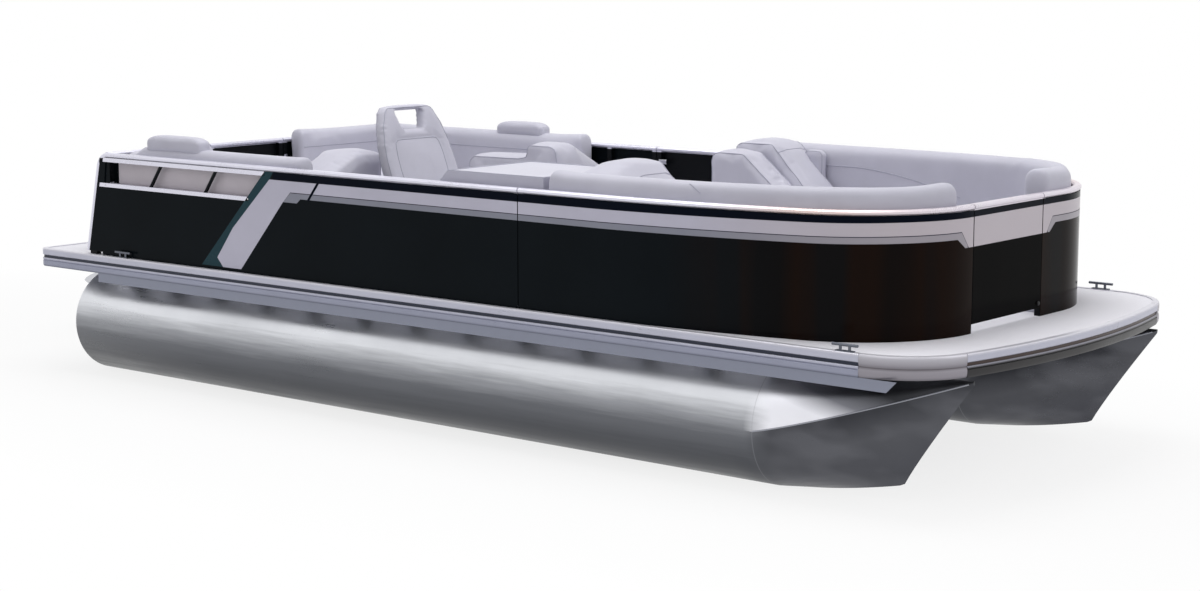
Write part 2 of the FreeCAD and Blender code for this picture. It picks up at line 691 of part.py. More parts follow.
def rake_cutter():
    """What lies aft of the middle of the raked rail and its bend, to be cut off."""
    x_bend, z_bend, turn = rear_bend()
    reach = FENCE_REAR_ROUND - TOP_RAIL_HEIGHT / 2
    slope = math.cos(turn) / math.sin(turn)
    low = deck_top - OVERRUN
    high = fence_top + OVERRUN
    x_arc = x_bend - reach * math.sin(turn)
    z_arc = z_bend + reach * math.cos(turn)
    back = FENCE_REAR_FOOT - FENCE_HEIGHT
    half = turn / 2
    middle = (x_bend - reach * math.sin(half), z_bend + reach * math.cos(half))

    def at(x, z):
        return vec(x, -half_beam, z)

    points = [at(x_arc, z_arc), at(x_arc - slope * (z_arc - low), low), at(back, low), at(back, high),
              at(x_bend, high), at(x_bend, z_bend + reach)]
    edges = [Part.makeLine(points[index], points[index + 1]) for index in range(len(points) - 1)]
    edges.append(Part.Arc(points[-1], at(*middle), points[0]).toShape())
    return Part.Face(Part.Wire(edges)).extrude(vec(0, 2 * half_beam, 0))


def slanted(x, z):
    """x of a slanted window edge at height z, through x at the sill."""
    return x + WINDOW_SLANT * (z - window_sill) / (window_head - window_sill)


def window_cutter():
    rear = side_prism([(WINDOW_REAR, window_sill), (window_front, window_sill),
                       (slanted(window_front, window_head), window_head),
                       (WINDOW_REAR + STRUT_WIDTH, window_head)], -half_beam, half_beam)
    for place in strut_places:
        strut = side_prism([(place, window_sill - OVERRUN), (place + STRUT_WIDTH, window_sill - OVERRUN),
                            (slanted(place + STRUT_WIDTH, window_head), window_head + OVERRUN),
                            (slanted(place, window_head), window_head + OVERRUN)], -half_beam, half_beam)
        rear = rear.cut(strut)
    return rear


def starboard_aft(front):
    """Frame and skin of an aft side section that ends at x = front."""
    inner = fence_half_width - SKIN - SOFT_GAP
    rear = FENCE_REAR_FOOT - OVERRUN
    far = inner - POST
    frame = box(rear, front, -inner, -far, fence_bottom, fence_bottom + POST)
    frame = frame.fuse(box(front - POST, front, -inner, -far, fence_bottom, rail_bottom + OVERRUN))
    frame = frame.fuse(box(rear, window_front, -inner, -far, window_sill - MID_RAIL_HEIGHT, window_sill))
    frame = frame.cut(rake_cutter()).fuse(aft_rail(front))
    for place in strut_places:
        strut = side_prism([(place, window_sill - OVERRUN), (place + STRUT_WIDTH, window_sill - OVERRUN),
                            (slanted(place + STRUT_WIDTH, window_head), rail_bottom + OVERRUN),
                            (slanted(place, window_head), rail_bottom + OVERRUN)],
                           -inner, -inner + STRUT_WIDTH)
        frame = frame.fuse(strut)
    for share in AFT_POST_SHARES:
        post = window_front + (front - window_front) * share
        frame = frame.fuse(box(post, post + POST, -inner, -far, fence_bottom, rail_bottom + OVERRUN))
    for pad in feet(FENCE_REAR_FOOT + POST, front - POST, -inner, -far):
        frame = frame.fuse(pad)
    frame = frame.removeSplitter()
    skin = box(rear, front, -fence_half_width, -fence_half_width + SKIN, fence_bottom,
               rail_bottom - SOFT_GAP)
    skin = skin.cut(rake_cutter()).cut(window_cutter())
    return frame, skin.cut(frame)


def starboard_bow(x_start, y_end):
    """Frame and skin of a bow section, from x_start round the corner to y_end."""
    outer = SKIN + SOFT_GAP
    inner = outer + POST
    frame = top_rail(x_start, y_end)
    frame = frame.fuse(bow_strip(inner, outer, x_start, y_end, fence_bottom, fence_bottom + POST))
    side = fence_half_width
    frame = frame.fuse(box(x_start, x_start + POST, -side + outer, -side + inner, fence_bottom,
                           rail_bottom + OVERRUN))
    front = fence_front
    end = box(front - inner, front - outer, y_end - POST, y_end, fence_bottom, rail_bottom + OVERRUN)
    frame = frame.fuse(end)
    for pad in feet(x_start, flank_start, -side + outer, -side + inner):
        frame = frame.fuse(pad)
    frame = frame.fuse(box(front - inner, front - outer, y_end - FOOT_LENGTH, y_end, deck_top, fence_bottom))
    skin = bow_strip(SKIN, 0, x_start, y_end, fence_bottom, rail_bottom - SOFT_GAP)
    return frame.removeSplitter(), skin


def stern_part(y0, y1):
    """Frame and skin of one half of the stern fence, between y0 and y1."""
    face = STERN_FENCE
    outer = face + SKIN + SOFT_GAP
    inner = outer + POST
    frame = cross_rail(y0, y1, face)
    frame = frame.fuse(box(outer, inner, y0, y1, fence_bottom, fence_bottom + POST))
    for y in (y0, y1 - POST):
        frame = frame.fuse(box(outer, inner, y, y + POST, deck_top, rail_bottom + OVERRUN))
    skin = box(face, face + SKIN, y0, y1, fence_bottom, rail_bottom - SOFT_GAP)
    return frame.removeSplitter(), skin


def make_fences():
    frame, skin = starboard_aft(fence_seam - SEAM_GAP)
    nodes["fence_frame_starboard_aft"] = frame
    nodes["fence_skin_starboard_aft"] = skin
    frame, skin = starboard_aft(port_gate_rear - GATE_GAP)
    nodes["fence_frame_port_aft"] = mirror_port(frame)
    nodes["fence_skin_port_aft"] = mirror_port(skin)
    frame, skin = starboard_bow(fence_seam, BOW_GATE_STARBOARD - GATE_GAP)
    nodes["fence_frame_starboard_bow"] = frame
    nodes["fence_skin_starboard_bow"] = skin
    frame, skin = starboard_bow(port_gate_front + GATE_GAP, -(BOW_GATE_PORT + GATE_GAP))
    nodes["fence_frame_port_bow"] = mirror_port(frame)
    nodes["fence_skin_port_bow"] = mirror_port(skin)
    reach = fence_half_width - TOP_RAIL_WIDTH
    star_frame, star_skin = stern_part(-reach, STERN_GATE_STARBOARD - GATE_GAP)
    port_frame, port_skin = stern_part(STERN_GATE_PORT + GATE_GAP, reach)
    nodes["fence_frame_stern"] = Part.makeCompound([star_frame, port_frame])
    nodes["fence_skin_stern"] = Part.makeCompound([star_skin, port_skin])


# Gates

def hinge_levels():
    low = deck_top + GATE_LIFT
    return [low + (rail_bottom - low) * share for share in HINGE_SHARES]


def gate_leaf(post_face, y_post, y_knuckle, z0, z1):
    """Plate on a post and its arm to the hinge pin; y_post is the far edge of the plate."""
    pin_x = TOP_RAIL_WIDTH - TOP_RAIL_PROUD + HINGE_OFFSET
    y_arm = y_knuckle - math.copysign(HINGE_LEAF, y_knuckle - y_post)
    plate = box(post_face, post_face + HINGE_LEAF, min(y_post, y_knuckle), max(y_post, y_knuckle), z0, z1)
    arm = box(post_face, pin_x, min(y_arm, y_knuckle), max(y_arm, y_knuckle), z0, z1)
    return plate.fuse(arm)


def gate_panel(length):
    """Gate along y from 0 to length, outer face at x = 0, growing towards +x, hinged past length."""
    def place(u, z):
        return vec(u, 0, z)

    gate = rail_face(place).extrude(vec(0, length, 0))
    low = deck_top + GATE_LIFT
    high = rail_bottom + TOP_RAIL_ROUND
    gate = gate.fuse(box(0, SKIN, 0, length, low, high))
    for y in (0, length - POST):
        gate = gate.fuse(box(0, SKIN + POST, y, y + POST, low, high))
    gate = gate.fuse(box(0, SKIN + POST, 0, length, low, low + POST))
    pin_x, pin_y = hinge_place(length)
    up = vec(0, 0, 1)
    for level in hinge_levels():
        gate = gate.fuse(gate_leaf(SKIN + POST, length - POST, length - GATE_GAP / 2, level,
                                   level + HINGE_KNUCKLE_LENGTH))
        gate = gate.fuse(Part.makeCylinder(HINGE_KNUCKLE_RADIUS, HINGE_KNUCKLE_LENGTH,
                                           vec(pin_x, pin_y, level), up))
        gate = gate.cut(Part.makeCylinder(HINGE_PIN_RADIUS + RUNNING_FIT, HINGE_KNUCKLE_LENGTH + 2 * OVERRUN,
                                          vec(pin_x, pin_y, level - OVERRUN), up))
    return gate.removeSplitter()


def hinge_place(length):
    return TOP_RAIL_WIDTH - TOP_RAIL_PROUD + HINGE_OFFSET, length + GATE_GAP / 2


def gate_hinges(length):
    """Pins with their fixed knuckles and leaves, on the fence post past the end of a gate."""
    pin_x, pin_y = hinge_place(length)
    up = vec(0, 0, 1)
    post_face = SKIN + SOFT_GAP + POST
    post_end = length + GATE_GAP + POST
    half = HINGE_KNUCKLE_LENGTH / 2
    hinges = []
    for level in hinge_levels():
        low = level - HINGE_PLAY - half
        high = level + HINGE_KNUCKLE_LENGTH + HINGE_PLAY
        hinge = Part.makeCylinder(HINGE_PIN_RADIUS, high + half - low, vec(pin_x, pin_y, low), up)
        for z in (low, high):
            hinge = hinge.fuse(Part.makeCylinder(HINGE_KNUCKLE_RADIUS, half, vec(pin_x, pin_y, z), up))
            hinge = hinge.fuse(gate_leaf(post_face, post_end, length + GATE_GAP, z, z + half))
        hinges.append(hinge.removeSplitter())
    return hinges


def make_gates():
    bow_length = BOW_GATE_PORT - BOW_GATE_STARBOARD
    bow = gate_panel(bow_length).mirror(vec(0, 0, 0), vec(1, 0, 0))
    to_bow = vec(fence_front, BOW_GATE_STARBOARD, 0)
    nodes["gate_bow"] = bow.translated(to_bow)
    fixed = [pin.mirror(vec(0, 0, 0), vec(1, 0, 0)).translated(to_bow) for pin in gate_hinges(bow_length)]
    stern_length = STERN_GATE_PORT - STERN_GATE_STARBOARD
    to_stern = vec(STERN_FENCE, STERN_GATE_STARBOARD, 0)
    nodes["gate_stern"] = gate_panel(stern_length).translated(to_stern)
    fixed += [pin.translated(to_stern) for pin in gate_hinges(stern_length)]
    side_length = port_gate_front - port_gate_rear
    to_side = vec(port_gate_rear, fence_half_width, 0)
    side = gate_panel(side_length)
    side.rotate(vec(0, 0, 0), vec(0, 0, 1), -90)
    nodes["gate_port"] = side.translated(to_side)
    for pin in gate_hinges(side_length):
        pin.rotate(vec(0, 0, 0), vec(0, 0, 1), -90)
        fixed.append(pin.translated(to_side))
    nodes["gate_hinges"] = Part.makeCompound(fixed)


# Lounges

def bow_bases(rear, y_end):
    """Open base under the lid of a bow lounge, and the one under the corner seat ahead of it."""
    low = deck_top + SOFT_GAP
    depth = BASE_INSET + BACK_THICKNESS + SEAT_DEPTH
    shell = bow_block(BASE_INSET, depth, rear, y_end, low, seat_bottom)
    hollow = bow_block(BASE_INSET + BASE_WALL, depth - BASE_WALL, rear + BASE_WALL, y_end - BASE_WALL,
                       low + BASE_WALL, seat_bottom + OVERRUN)
    ahead = bow_lid_front + SOFT_GAP
    straight = between(shell, rear, bow_lid_front).cut(between(hollow, rear, bow_lid_front - BASE_WALL))
    corner = between(shell, ahead, fence_front).cut(between(hollow, ahead + BASE_WALL, fence_front))
    return straight, corner


def bow_back(rear, y_end):
    low = seat_bottom + SOFT_GAP
    return bow_strip(BACK_INSET + BACK_THICKNESS, BACK_INSET, rear, y_end, low, bow_back_top)


def fence_line_y(x, inset):
    """y of the starboard fence line, moved in by inset, along the side and the flank."""
    if x < flank_start:
        return -(fence_half_width - inset)
    radius = FLANK_RADIUS - inset
    return flank_centre[1] - math.sqrt(radius ** 2 - (x - flank_start) ** 2)


def seat_edge(y_end):
    """Inner edge of a straight bow seat: the walkway, or the gateway if that is further out."""
    return min(-(fence_half_width - BASE_INSET - BACK_THICKNESS - SEAT_DEPTH), y_end)


def bow_lid_rear(rear):
    """Aft end of the lid of a bow lounge that starts at rear."""
    return rear + CHAISE_FOOT + CHAISE_GAP


def bow_lid(rear, y_end):
    inset = BACK_INSET + BACK_THICKNESS + LID_GAP
    start, front = bow_lid_rear(rear), bow_lid_front
    inner = seat_edge(y_end)
    outline = [(start, fence_line_y(start, inset)), (front, fence_line_y(front, inset)), (front, inner),
               (start, inner)]
    return plan_prism(outline, seat_bottom + SOFT_GAP, seat_top)


def bow_corner_seat(y_end):
    """Fixed seat cushion round the bow corner, ahead of the lid."""
    inset = BACK_INSET + BACK_THICKNESS + SOFT_GAP
    low = seat_bottom + SOFT_GAP
    rear = bow_lid_front + LID_GAP
    return bow_block(inset, BASE_INSET + BACK_THICKNESS + SEAT_DEPTH, rear, y_end, low, seat_top)


def chaise(start, rise):
    """Sloping chaise cushion at the aft end of a bow lounge."""
    rear = start + SOFT_GAP
    low = seat_bottom + SOFT_GAP
    top = seat_top + rise
    outline = [(rear, low), (rear + CHAISE_FOOT, low), (rear + CHAISE_FOOT, seat_top),
               (rear + CHAISE_HEAD, top), (rear + CUSHION_ROUND, top), (rear, top - CUSHION_ROUND)]
    outer = fence_line_y(rear + CHAISE_FOOT, BACK_INSET + BACK_THICKNESS + SOFT_GAP)
    inner = -(fence_half_width - BASE_INSET - BACK_THICKNESS - SEAT_DEPTH)
    return side_prism(outline, outer, inner)


def aft_outline_plan(inset, front, y_end, side_depth):
    """L in plan: along the side fence and across the stern fence to y_end."""
    side = fence_half_width - inset
    rear = STERN_FENCE + TOP_RAIL_WIDTH + inset - BACK_INSET
    inner = fence_half_width - side_depth
    depth = STERN_FENCE + TOP_RAIL_WIDTH + side_depth - BACK_INSET
    return [(rear, -side), (front, -side), (front, -inner), (depth, -inner), (depth, y_end), (rear, y_end)]


def aft_base(front, y_end):
    depth = BASE_INSET + BACK_THICKNESS + SEAT_DEPTH
    low = deck_top + SOFT_GAP
    outer = plan_prism(aft_outline_plan(BASE_INSET, front, y_end, depth), low, seat_bottom)
    inner = plan_prism(aft_outline_plan(BASE_INSET + BASE_WALL, front - BASE_WALL, y_end - BASE_WALL,
                                        depth - BASE_WALL), low + BASE_WALL, seat_bottom + OVERRUN)
    return outer.cut(inner)


def aft_back(front, y_end):
    outline = aft_outline_plan(BACK_INSET + SOFT_GAP, front, y_end, BACK_INSET + BACK_THICKNESS)
    return plan_prism(outline, seat_bottom + SOFT_GAP, aft_back_top)


def aft_lid(front, tail):
    """Lifting seat cushion between the corner seat and the arm cushion."""
    outer = -(fence_half_width - BACK_INSET - BACK_THICKNESS - LID_GAP)
    inner = -(fence_half_width - BASE_INSET - BACK_THICKNESS - SEAT_DEPTH)
    end = front - ARM_DEPTH - tail - LID_GAP
    return box(AFT_CORNER + LID_GAP, end, outer, inner, seat_bottom + SOFT_GAP, seat_top)


def aft_arm(front, rise, tail):
    """Raised cushion across the forward end of an aft seat, with a lower tail behind it."""
    low = seat_bottom + SOFT_GAP
    top = seat_top + rise
    tail_top = seat_top + ARM_TAIL_RISE
    rear = front - ARM_DEPTH
    edge = CUSHION_ROUND
    outline = [(front, low), (front, top - edge), (front - edge, top), (rear, top), (rear, tail_top),
               (rear - tail + edge, tail_top), (rear - tail, tail_top - edge), (rear - tail, low)]
    inner = fence_half_width - BACK_INSET - BACK_THICKNESS - SOFT_GAP
    return side_prism(outline, -inner, -inner + SEAT_DEPTH)


def headrest(rear):
    """Low pillow on top of an aft back."""
    outer = fence_half_width - BACK_INSET - SOFT_GAP
    low = aft_back_top + SOFT_GAP
    return box(rear, rear + HEADREST_LENGTH, -outer, -outer + HEADREST_THICKNESS, low, low + HEADREST_RISE)


def aft_corner_seat(y_end):
    side = fence_half_width - BACK_INSET - BACK_THICKNESS - SOFT_GAP
    rear = STERN_FENCE + TOP_RAIL_WIDTH + BACK_THICKNESS + SOFT_GAP
    inner = fence_half_width - (BASE_INSET + BACK_THICKNESS + SEAT_DEPTH)
    depth = STERN_FENCE + TOP_RAIL_WIDTH + BASE_INSET + BACK_THICKNESS + SEAT_DEPTH - BACK_INSET
    outline = [(rear, -side), (AFT_CORNER, -side), (AFT_CORNER, -inner), (depth, -inner), (depth, y_end),
               (rear, y_end)]
    return plan_prism(outline, seat_bottom + SOFT_GAP, seat_top)


def make_lounges():
    base, corner = bow_bases(bow_starboard_rear, BOW_STARBOARD_END)
    base_port, corner_port = bow_bases(bow_port_rear, -BOW_PORT_END)
    nodes["lounge_base_bow_starboard"] = base
    nodes["lounge_base_bow_port"] = mirror_port(base_port)
    nodes["lounge_bases_bow_corner"] = Part.makeCompound([corner, mirror_port(corner_port)])
    nodes["lounge_back_bow_starboard"] = bow_back(bow_starboard_rear, BOW_STARBOARD_END)
    nodes["lounge_back_bow_port"] = mirror_port(bow_back(bow_port_rear, -BOW_PORT_END))
    nodes["seat_bow_starboard"] = bow_lid(bow_starboard_rear, BOW_STARBOARD_END)
    nodes["seat_bow_port"] = mirror_port(bow_lid(bow_port_rear, -BOW_PORT_END))
    nodes["seats_bow_corner"] = Part.makeCompound([bow_corner_seat(BOW_STARBOARD_END),
                                                   mirror_port(bow_corner_seat(-BOW_PORT_END))])
    nodes["chaise_backs"] = Part.makeCompound([chaise(bow_starboard_rear, CHAISE_RISE_STARBOARD),
                                               mirror_port(chaise(bow_port_rear, CHAISE_RISE_PORT))])
    nodes["lounge_base_aft_starboard"] = aft_base(aft_starboard_front, AFT_STARBOARD_END)
    nodes["lounge_base_aft_port"] = mirror_port(aft_base(aft_port_front, -AFT_PORT_END))
    nodes["lounge_back_aft_starboard"] = aft_back(aft_starboard_front, AFT_STARBOARD_END)
    port_back_front = aft_port_front - AFT_PORT_BACK_SETBACK
    nodes["lounge_back_aft_port"] = mirror_port(aft_back(port_back_front, -AFT_PORT_END))
    nodes["seat_aft_starboard"] = aft_lid(aft_starboard_front, ARM_TAIL_STARBOARD)
    nodes["seat_aft_port"] = mirror_port(aft_lid(aft_port_front, ARM_TAIL_PORT))
    nodes["seats_aft_corner"] = Part.makeCompound([aft_corner_seat(AFT_STARBOARD_END),
                                                   mirror_port(aft_corner_seat(-AFT_PORT_END))])
    arms = [aft_arm(aft_starboard_front, ARM_RISE_STARBOARD, ARM_TAIL_STARBOARD),
            mirror_port(aft_arm(aft_port_front, ARM_RISE_PORT, ARM_TAIL_PORT))]
    nodes["aft_arm_cushions"] = Part.makeCompound(arms)
    nodes["headrests"] = Part.makeCompound([headrest(HEADREST_STARBOARD_REAR),
                                            mirror_port(headrest(HEADREST_PORT_REAR))])


# Helm

def make_console():
    low = deck_top + SOFT_GAP
    brow = console_top - DASH_SLOPE
    knee = brow - DASH_FACE
    outline = [(console_rear + DASH_SLOPE, low), (console_front, low), (console_front, console_top),
               (console_rear + DASH_SLOPE, console_top), (console_rear, brow), (console_rear, knee),
               (console_rear + DASH_SLOPE, knee - DASH_SLOPE)]
    sink = (WHEEL_STANDOFF + WHEEL_BOSS_RADIUS * math.sin(WHEEL_TILT)) / math.cos(WHEEL_TILT)
    boss = Part.makeCylinder(WHEEL_BOSS_RADIUS, sink + WHEEL_BOSS_SINK - WHEEL_BOSS_STANDOFF,
                             wheel_centre() - wheel_axis() * WHEEL_BOSS_STANDOFF, wheel_axis() * -1)
    nodes["helm_console"] = side_prism(outline, console_outer, console_inner).fuse(boss).removeSplitter()


def wheel_centre():
    middle = (console_outer + console_inner) / 2
    return vec(console_rear - WHEEL_STANDOFF, middle, wheel_height)


def wheel_axis():
    """Direction from the console towards the driver."""
    return vec(-math.cos(WHEEL_TILT), 0, math.sin(WHEEL_TILT))


def ring(radius, tube, sides):
    """Ring of a polygonal section about the z axis."""
    points = []
    for index in range(sides):
        angle = 2 * math.pi * (index + 1 / 2) / sides
        points.append(vec(radius + tube * math.cos(angle), 0, tube * math.sin(angle)))
    return polygon_face(points).revolve(vec(0, 0, 0), vec(0, 0, 1), 360)


def make_wheel():
    """Steering wheel, drawn about the z axis with the driver above it, then tilted."""
    wheel = ring(WHEEL_RADIUS, WHEEL_RIM, WHEEL_SIDES)
    wheel = wheel.fuse(Part.makeCylinder(WHEEL_HUB_RADIUS, 2 * WHEEL_RIM, vec(0, 0, -WHEEL_RIM)))
    half = SPOKE_WIDTH / 2
    for index in range(WHEEL_SPOKES):
        spoke = box(0, WHEEL_RADIUS, -half, half, -SPOKE_THICKNESS / 2, SPOKE_THICKNESS / 2)
        spoke.rotate(vec(0, 0, 0), vec(0, 0, 1), 360 * (index + 1 / 2) / WHEEL_SPOKES)
        wheel = wheel.fuse(spoke)
    shaft = WHEEL_BOSS_STANDOFF - SOFT_GAP
    wheel = wheel.fuse(Part.makeCylinder(WHEEL_SHAFT_RADIUS, shaft, vec(0, 0, -shaft))).removeSplitter()
    wheel.rotate(vec(0, 0, 0), vec(0, 1, 0), math.degrees(WHEEL_TILT) - 90)
    nodes["steering_wheel"] = wheel.translated(wheel_centre())


def make_chair():
    flange = Part.makeCylinder(PEDESTAL_FLANGE_RADIUS, PEDESTAL_FLANGE_THICKNESS,
                               vec(chair_x, chair_y, deck_top))
    seat_low = chair_seat_top - CHAIR_SEAT_THICKNESS
    stem = Part.makeCylinder(PEDESTAL_RADIUS, seat_low - deck_top - SOFT_GAP - 2 * PEDESTAL_FLANGE_THICKNESS,
                             vec(chair_x, chair_y, deck_top))
    nodes["chair_pedestal"] = flange.fuse(stem).removeSplitter()
    plate = Part.makeCylinder(PEDESTAL_FLANGE_RADIUS, 2 * PEDESTAL_FLANGE_THICKNESS - SOFT_GAP,
                              vec(chair_x, chair_y, seat_low - 2 * PEDESTAL_FLANGE_THICKNESS))
    half = CHAIR_WIDTH / 2
    rear = chair_x - CHAIR_DEPTH / 2
    pan = box(rear, rear + CHAIR_DEPTH, chair_y - half, chair_y + half, seat_low - SOFT_GAP, chair_seat_top)
    verticals = [edge for edge in pan.Edges if abs(edge.tangentAt(edge.FirstParameter).z) > 1 / 2]
    pan = pan.makeFillet(CUSHION_ROUND * 2, verticals)
    nodes["chair_seat"] = plate.fuse(pan).removeSplitter()
    back = leaning(mirrored(CHAIR_BACK_SHARES), rear, 0)
    grip = leaning(mirrored(CHAIR_GRIP_SHARES), rear, OVERRUN)
    nodes["chair_back"] = back.cut(grip)


def mirrored(shares):
    """Whole outline from its port half, given upwards."""
    return list(shares) + [(-across, up) for across, up in reversed(shares)]


def leaning(outline, rear, extra):
    """Slab of the chair back, leaning aft, with extra thickness on both faces."""
    low = chair_seat_top + SOFT_GAP
    half = CHAIR_BACK_WIDTH / 2
    points = [vec(rear - extra - CHAIR_BACK_LEAN * up, chair_y + half * across, low + CHAIR_BACK_HEIGHT * up)
              for across, up in outline]
    return polygon_face(points).extrude(vec(CHAIR_BACK_THICKNESS + 2 * extra, 0, 0))


# Motor and its mount

def make_pod():
    half = POD_WIDTH / 2
    step = deck_top - RAIL_DROP - POD_STEP
    outline = [(TRANSOM_FACE, POD_BOTTOM), (POD_BREAK, POD_BOTTOM), (POD_FRONT, channel_bottom),
               (RAIL_LIP, channel_bottom), (RAIL_LIP, step), (TRANSOM_FACE, step)]
    pod = side_prism(outline, -half, half)
    transom = box(TRANSOM_FACE - TRANSOM_THICKNESS, TRANSOM_FACE, -TRANSOM_WIDTH / 2, TRANSOM_WIDTH / 2,
                  POD_BOTTOM, transom_top)
    nodes["motor_pod"] = pod.fuse(transom).removeSplitter()


def tilt_up(shape):
    """Turn a motor piece, drawn upright, to its stored tilt about the tilt pin."""
    shape.rotate(vec(tilt_pin_x, 0, tilt_pin_z), vec(0, 1, 0), REST_TILT)
    return shape


def make_clamp():
    """Clamp bracket on the transom: two plates, a web and the tilt pin between them."""
    face = TRANSOM_FACE - TRANSOM_THICKNESS - SOFT_GAP
    half = CLAMP_SPREAD / 2
    low = transom_top - CLAMP_LENGTH
    outline = [(face, low), (face, transom_top), (tilt_pin_x, tilt_pin_z + CLAMP_EYE),
               (tilt_pin_x - CLAMP_EYE, tilt_pin_z), (tilt_pin_x, tilt_pin_z - CLAMP_EYE),
               (face - CLAMP_WALL, low)]
    bracket = box(face - CLAMP_WEB, face, -half, half, low, transom_top)
    for y in (-half, half):
        bracket = bracket.fuse(side_prism(outline, y - CLAMP_WALL / 2, y + CLAMP_WALL / 2))
    pin = Part.makeCylinder(TILT_PIN_RADIUS, CLAMP_SPREAD, vec(tilt_pin_x, -half, tilt_pin_z), vec(0, 1, 0))
    nodes["motor_clamp"] = bracket.fuse(pin).removeSplitter()


def make_swivel():
    """Tilting bracket: a barrel on the tilt pin and a tube round the steering pin."""
    inner = (CLAMP_SPREAD - CLAMP_WALL) / 2 - MOTOR_GAP
    across = vec(0, 1, 0)
    low = tilt_pin_z - SWIVEL_REACH
    height = SWIVEL_REACH + SWIVEL_RISE
    swivel = Part.makeCylinder(SWIVEL_RADIUS, 2 * inner, vec(tilt_pin_x, -inner, tilt_pin_z), across)
    swivel = swivel.fuse(Part.makeCylinder(SWIVEL_RADIUS, height, vec(steer_x, 0, low)))
    swivel = swivel.fuse(box(steer_x, tilt_pin_x, -SWIVEL_RADIUS, SWIVEL_RADIUS, tilt_pin_z - SWIVEL_RADIUS,
                             tilt_pin_z + SWIVEL_RISE))
    swivel = swivel.cut(Part.makeCylinder(TILT_PIN_RADIUS + RUNNING_FIT, 2 * (inner + OVERRUN),
                                          vec(tilt_pin_x, -inner - OVERRUN, tilt_pin_z), across))
    swivel = swivel.cut(Part.makeCylinder(STEER_PIN_RADIUS + RUNNING_FIT, height + 2 * OVERRUN,
                                          vec(steer_x, 0, low - OVERRUN)))
    nodes["motor_swivel"] = tilt_up(swivel.removeSplitter())


def make_leg():
    """Midsection with its steering pin, plate, skeg and gearcase."""
    yoke_low = tilt_pin_z - SWIVEL_REACH - MOTOR_GAP
    yoke_high = tilt_pin_z + SWIVEL_RISE + MOTOR_GAP
    plate_z = tilt_pin_z - LEG_LENGTH
    shaft_z = plate_z - SHAFT_DROP
    front = steer_x + HEAD_WIDTH / 2
    rear = steer_x - SWIVEL_RADIUS - MOTOR_GAP - LEG_CHORD
    leg = Part.makeCylinder(STEER_PIN_RADIUS, yoke_high - yoke_low, vec(steer_x, 0, yoke_low))
    half = HEAD_WIDTH / 2
    leg = leg.fuse(box(front - HEAD_LENGTH, front, -half, half, yoke_high, yoke_high + HEAD_HEIGHT))
    half = YOKE_WIDTH / 2
    leg = leg.fuse(box(rear, steer_x + SWIVEL_RADIUS, -half, half, yoke_low - HEAD_HEIGHT, yoke_low))
    neck = rear + LEG_CHORD
    body = [(rear, yoke_high), (neck, yoke_high), (neck, yoke_low), (steer_x, yoke_low - HEAD_HEIGHT),
            (steer_x, plate_z), (rear, plate_z)]
    leg = leg.fuse(side_prism(body, -LEG_WIDTH / 2, LEG_WIDTH / 2))
    half = PLATE_WIDTH / 2
    leg = leg.fuse(box(neck - PLATE_LENGTH, steer_x, -half, half, plate_z - PLATE_THICKNESS, plate_z))
    gear_rear = neck - GEARCASE_LENGTH
    along = vec(1, 0, 0)
    leg = leg.fuse(Part.makeCylinder(GEARCASE_RADIUS, GEARCASE_LENGTH, vec(gear_rear, 0, shaft_z), along))
    leg = leg.fuse(Part.makeCone(GEARCASE_RADIUS, STEER_PIN_RADIUS, GEARCASE_NOSE, vec(neck, 0, shaft_z),
                                 along))
    leg = leg.fuse(Part.makeCylinder(PROP_SHAFT_RADIUS, PROP_HUB_LENGTH,
                                     vec(gear_rear - PROP_HUB_LENGTH, 0, shaft_z), along))
    half = SKEG_THICKNESS / 2
    fin = [(rear, plate_z), (steer_x, plate_z), (neck, shaft_z), (rear + GEARCASE_RADIUS, shaft_z)]
    leg = leg.fuse(side_prism(fin, -half, half))
    low = shaft_z - GEARCASE_RADIUS
    skeg = [(neck - GEARCASE_RADIUS, shaft_z), (rear + GEARCASE_RADIUS, low - SKEG_DROP),
            (rear, low - SKEG_DROP), (rear, shaft_z)]
    leg = leg.fuse(side_prism(skeg, -half / 2, half / 2))
    nodes["motor_leg"] = tilt_up(leg.removeSplitter())
    return yoke_high + HEAD_HEIGHT, gear_rear, shaft_z


def make_cowl(low):
    front = steer_x + HEAD_WIDTH / 2
    base = low + SOFT_GAP
    outline = [(front - COWL_LENGTH * back, base + COWL_HEIGHT * up) for back, up in COWL_SHARES]
    cowl = side_prism(outline, -COWL_WIDTH / 2, COWL_WIDTH / 2)
    sides = [edge for edge in cowl.Edges if abs(edge.tangentAt(edge.FirstParameter).y) < 1 / 2
             and edge.CenterOfMass.z > base + COWL_EDGE]
    nodes["motor_cowl"] = tilt_up(cowl.makeChamfer(COWL_EDGE, sides))


def make_propeller(gear_rear, shaft_z):
    front = gear_rear - MOTOR_GAP / 2
    middle = front - PROP_HUB_LENGTH / 2
    prop = Part.makeCylinder(PROP_HUB_RADIUS, PROP_HUB_LENGTH, vec(front - PROP_HUB_LENGTH, 0, shaft_z),
                             vec(1, 0, 0))
    half = PROP_BLADE_THICKNESS / 2
    for index in range(PROP_BLADES):
        blade = polygon_face([vec(PROP_BLADE_CHORD * along, -half, PROP_RADIUS * out)
                              for along, out in PROP_BLADE_SHARES]).extrude(vec(0, 2 * half, 0))
        blade.rotate(vec(0, 0, 0), vec(0, 0, 1), PROP_PITCH_TURN)
        blade.rotate(vec(0, 0, 0), vec(1, 0, 0), 360 * index / PROP_BLADES)
        prop = prop.fuse(blade.translated(vec(middle, 0, shaft_z)))
    prop = prop.cut(Part.makeCylinder(PROP_SHAFT_RADIUS + RUNNING_FIT, PROP_HUB_LENGTH + OVERRUN,
                                      vec(front - PROP_HUB_LENGTH, 0, shaft_z), vec(1, 0, 0)))
    nodes["propeller"] = tilt_up(prop.removeSplitter())


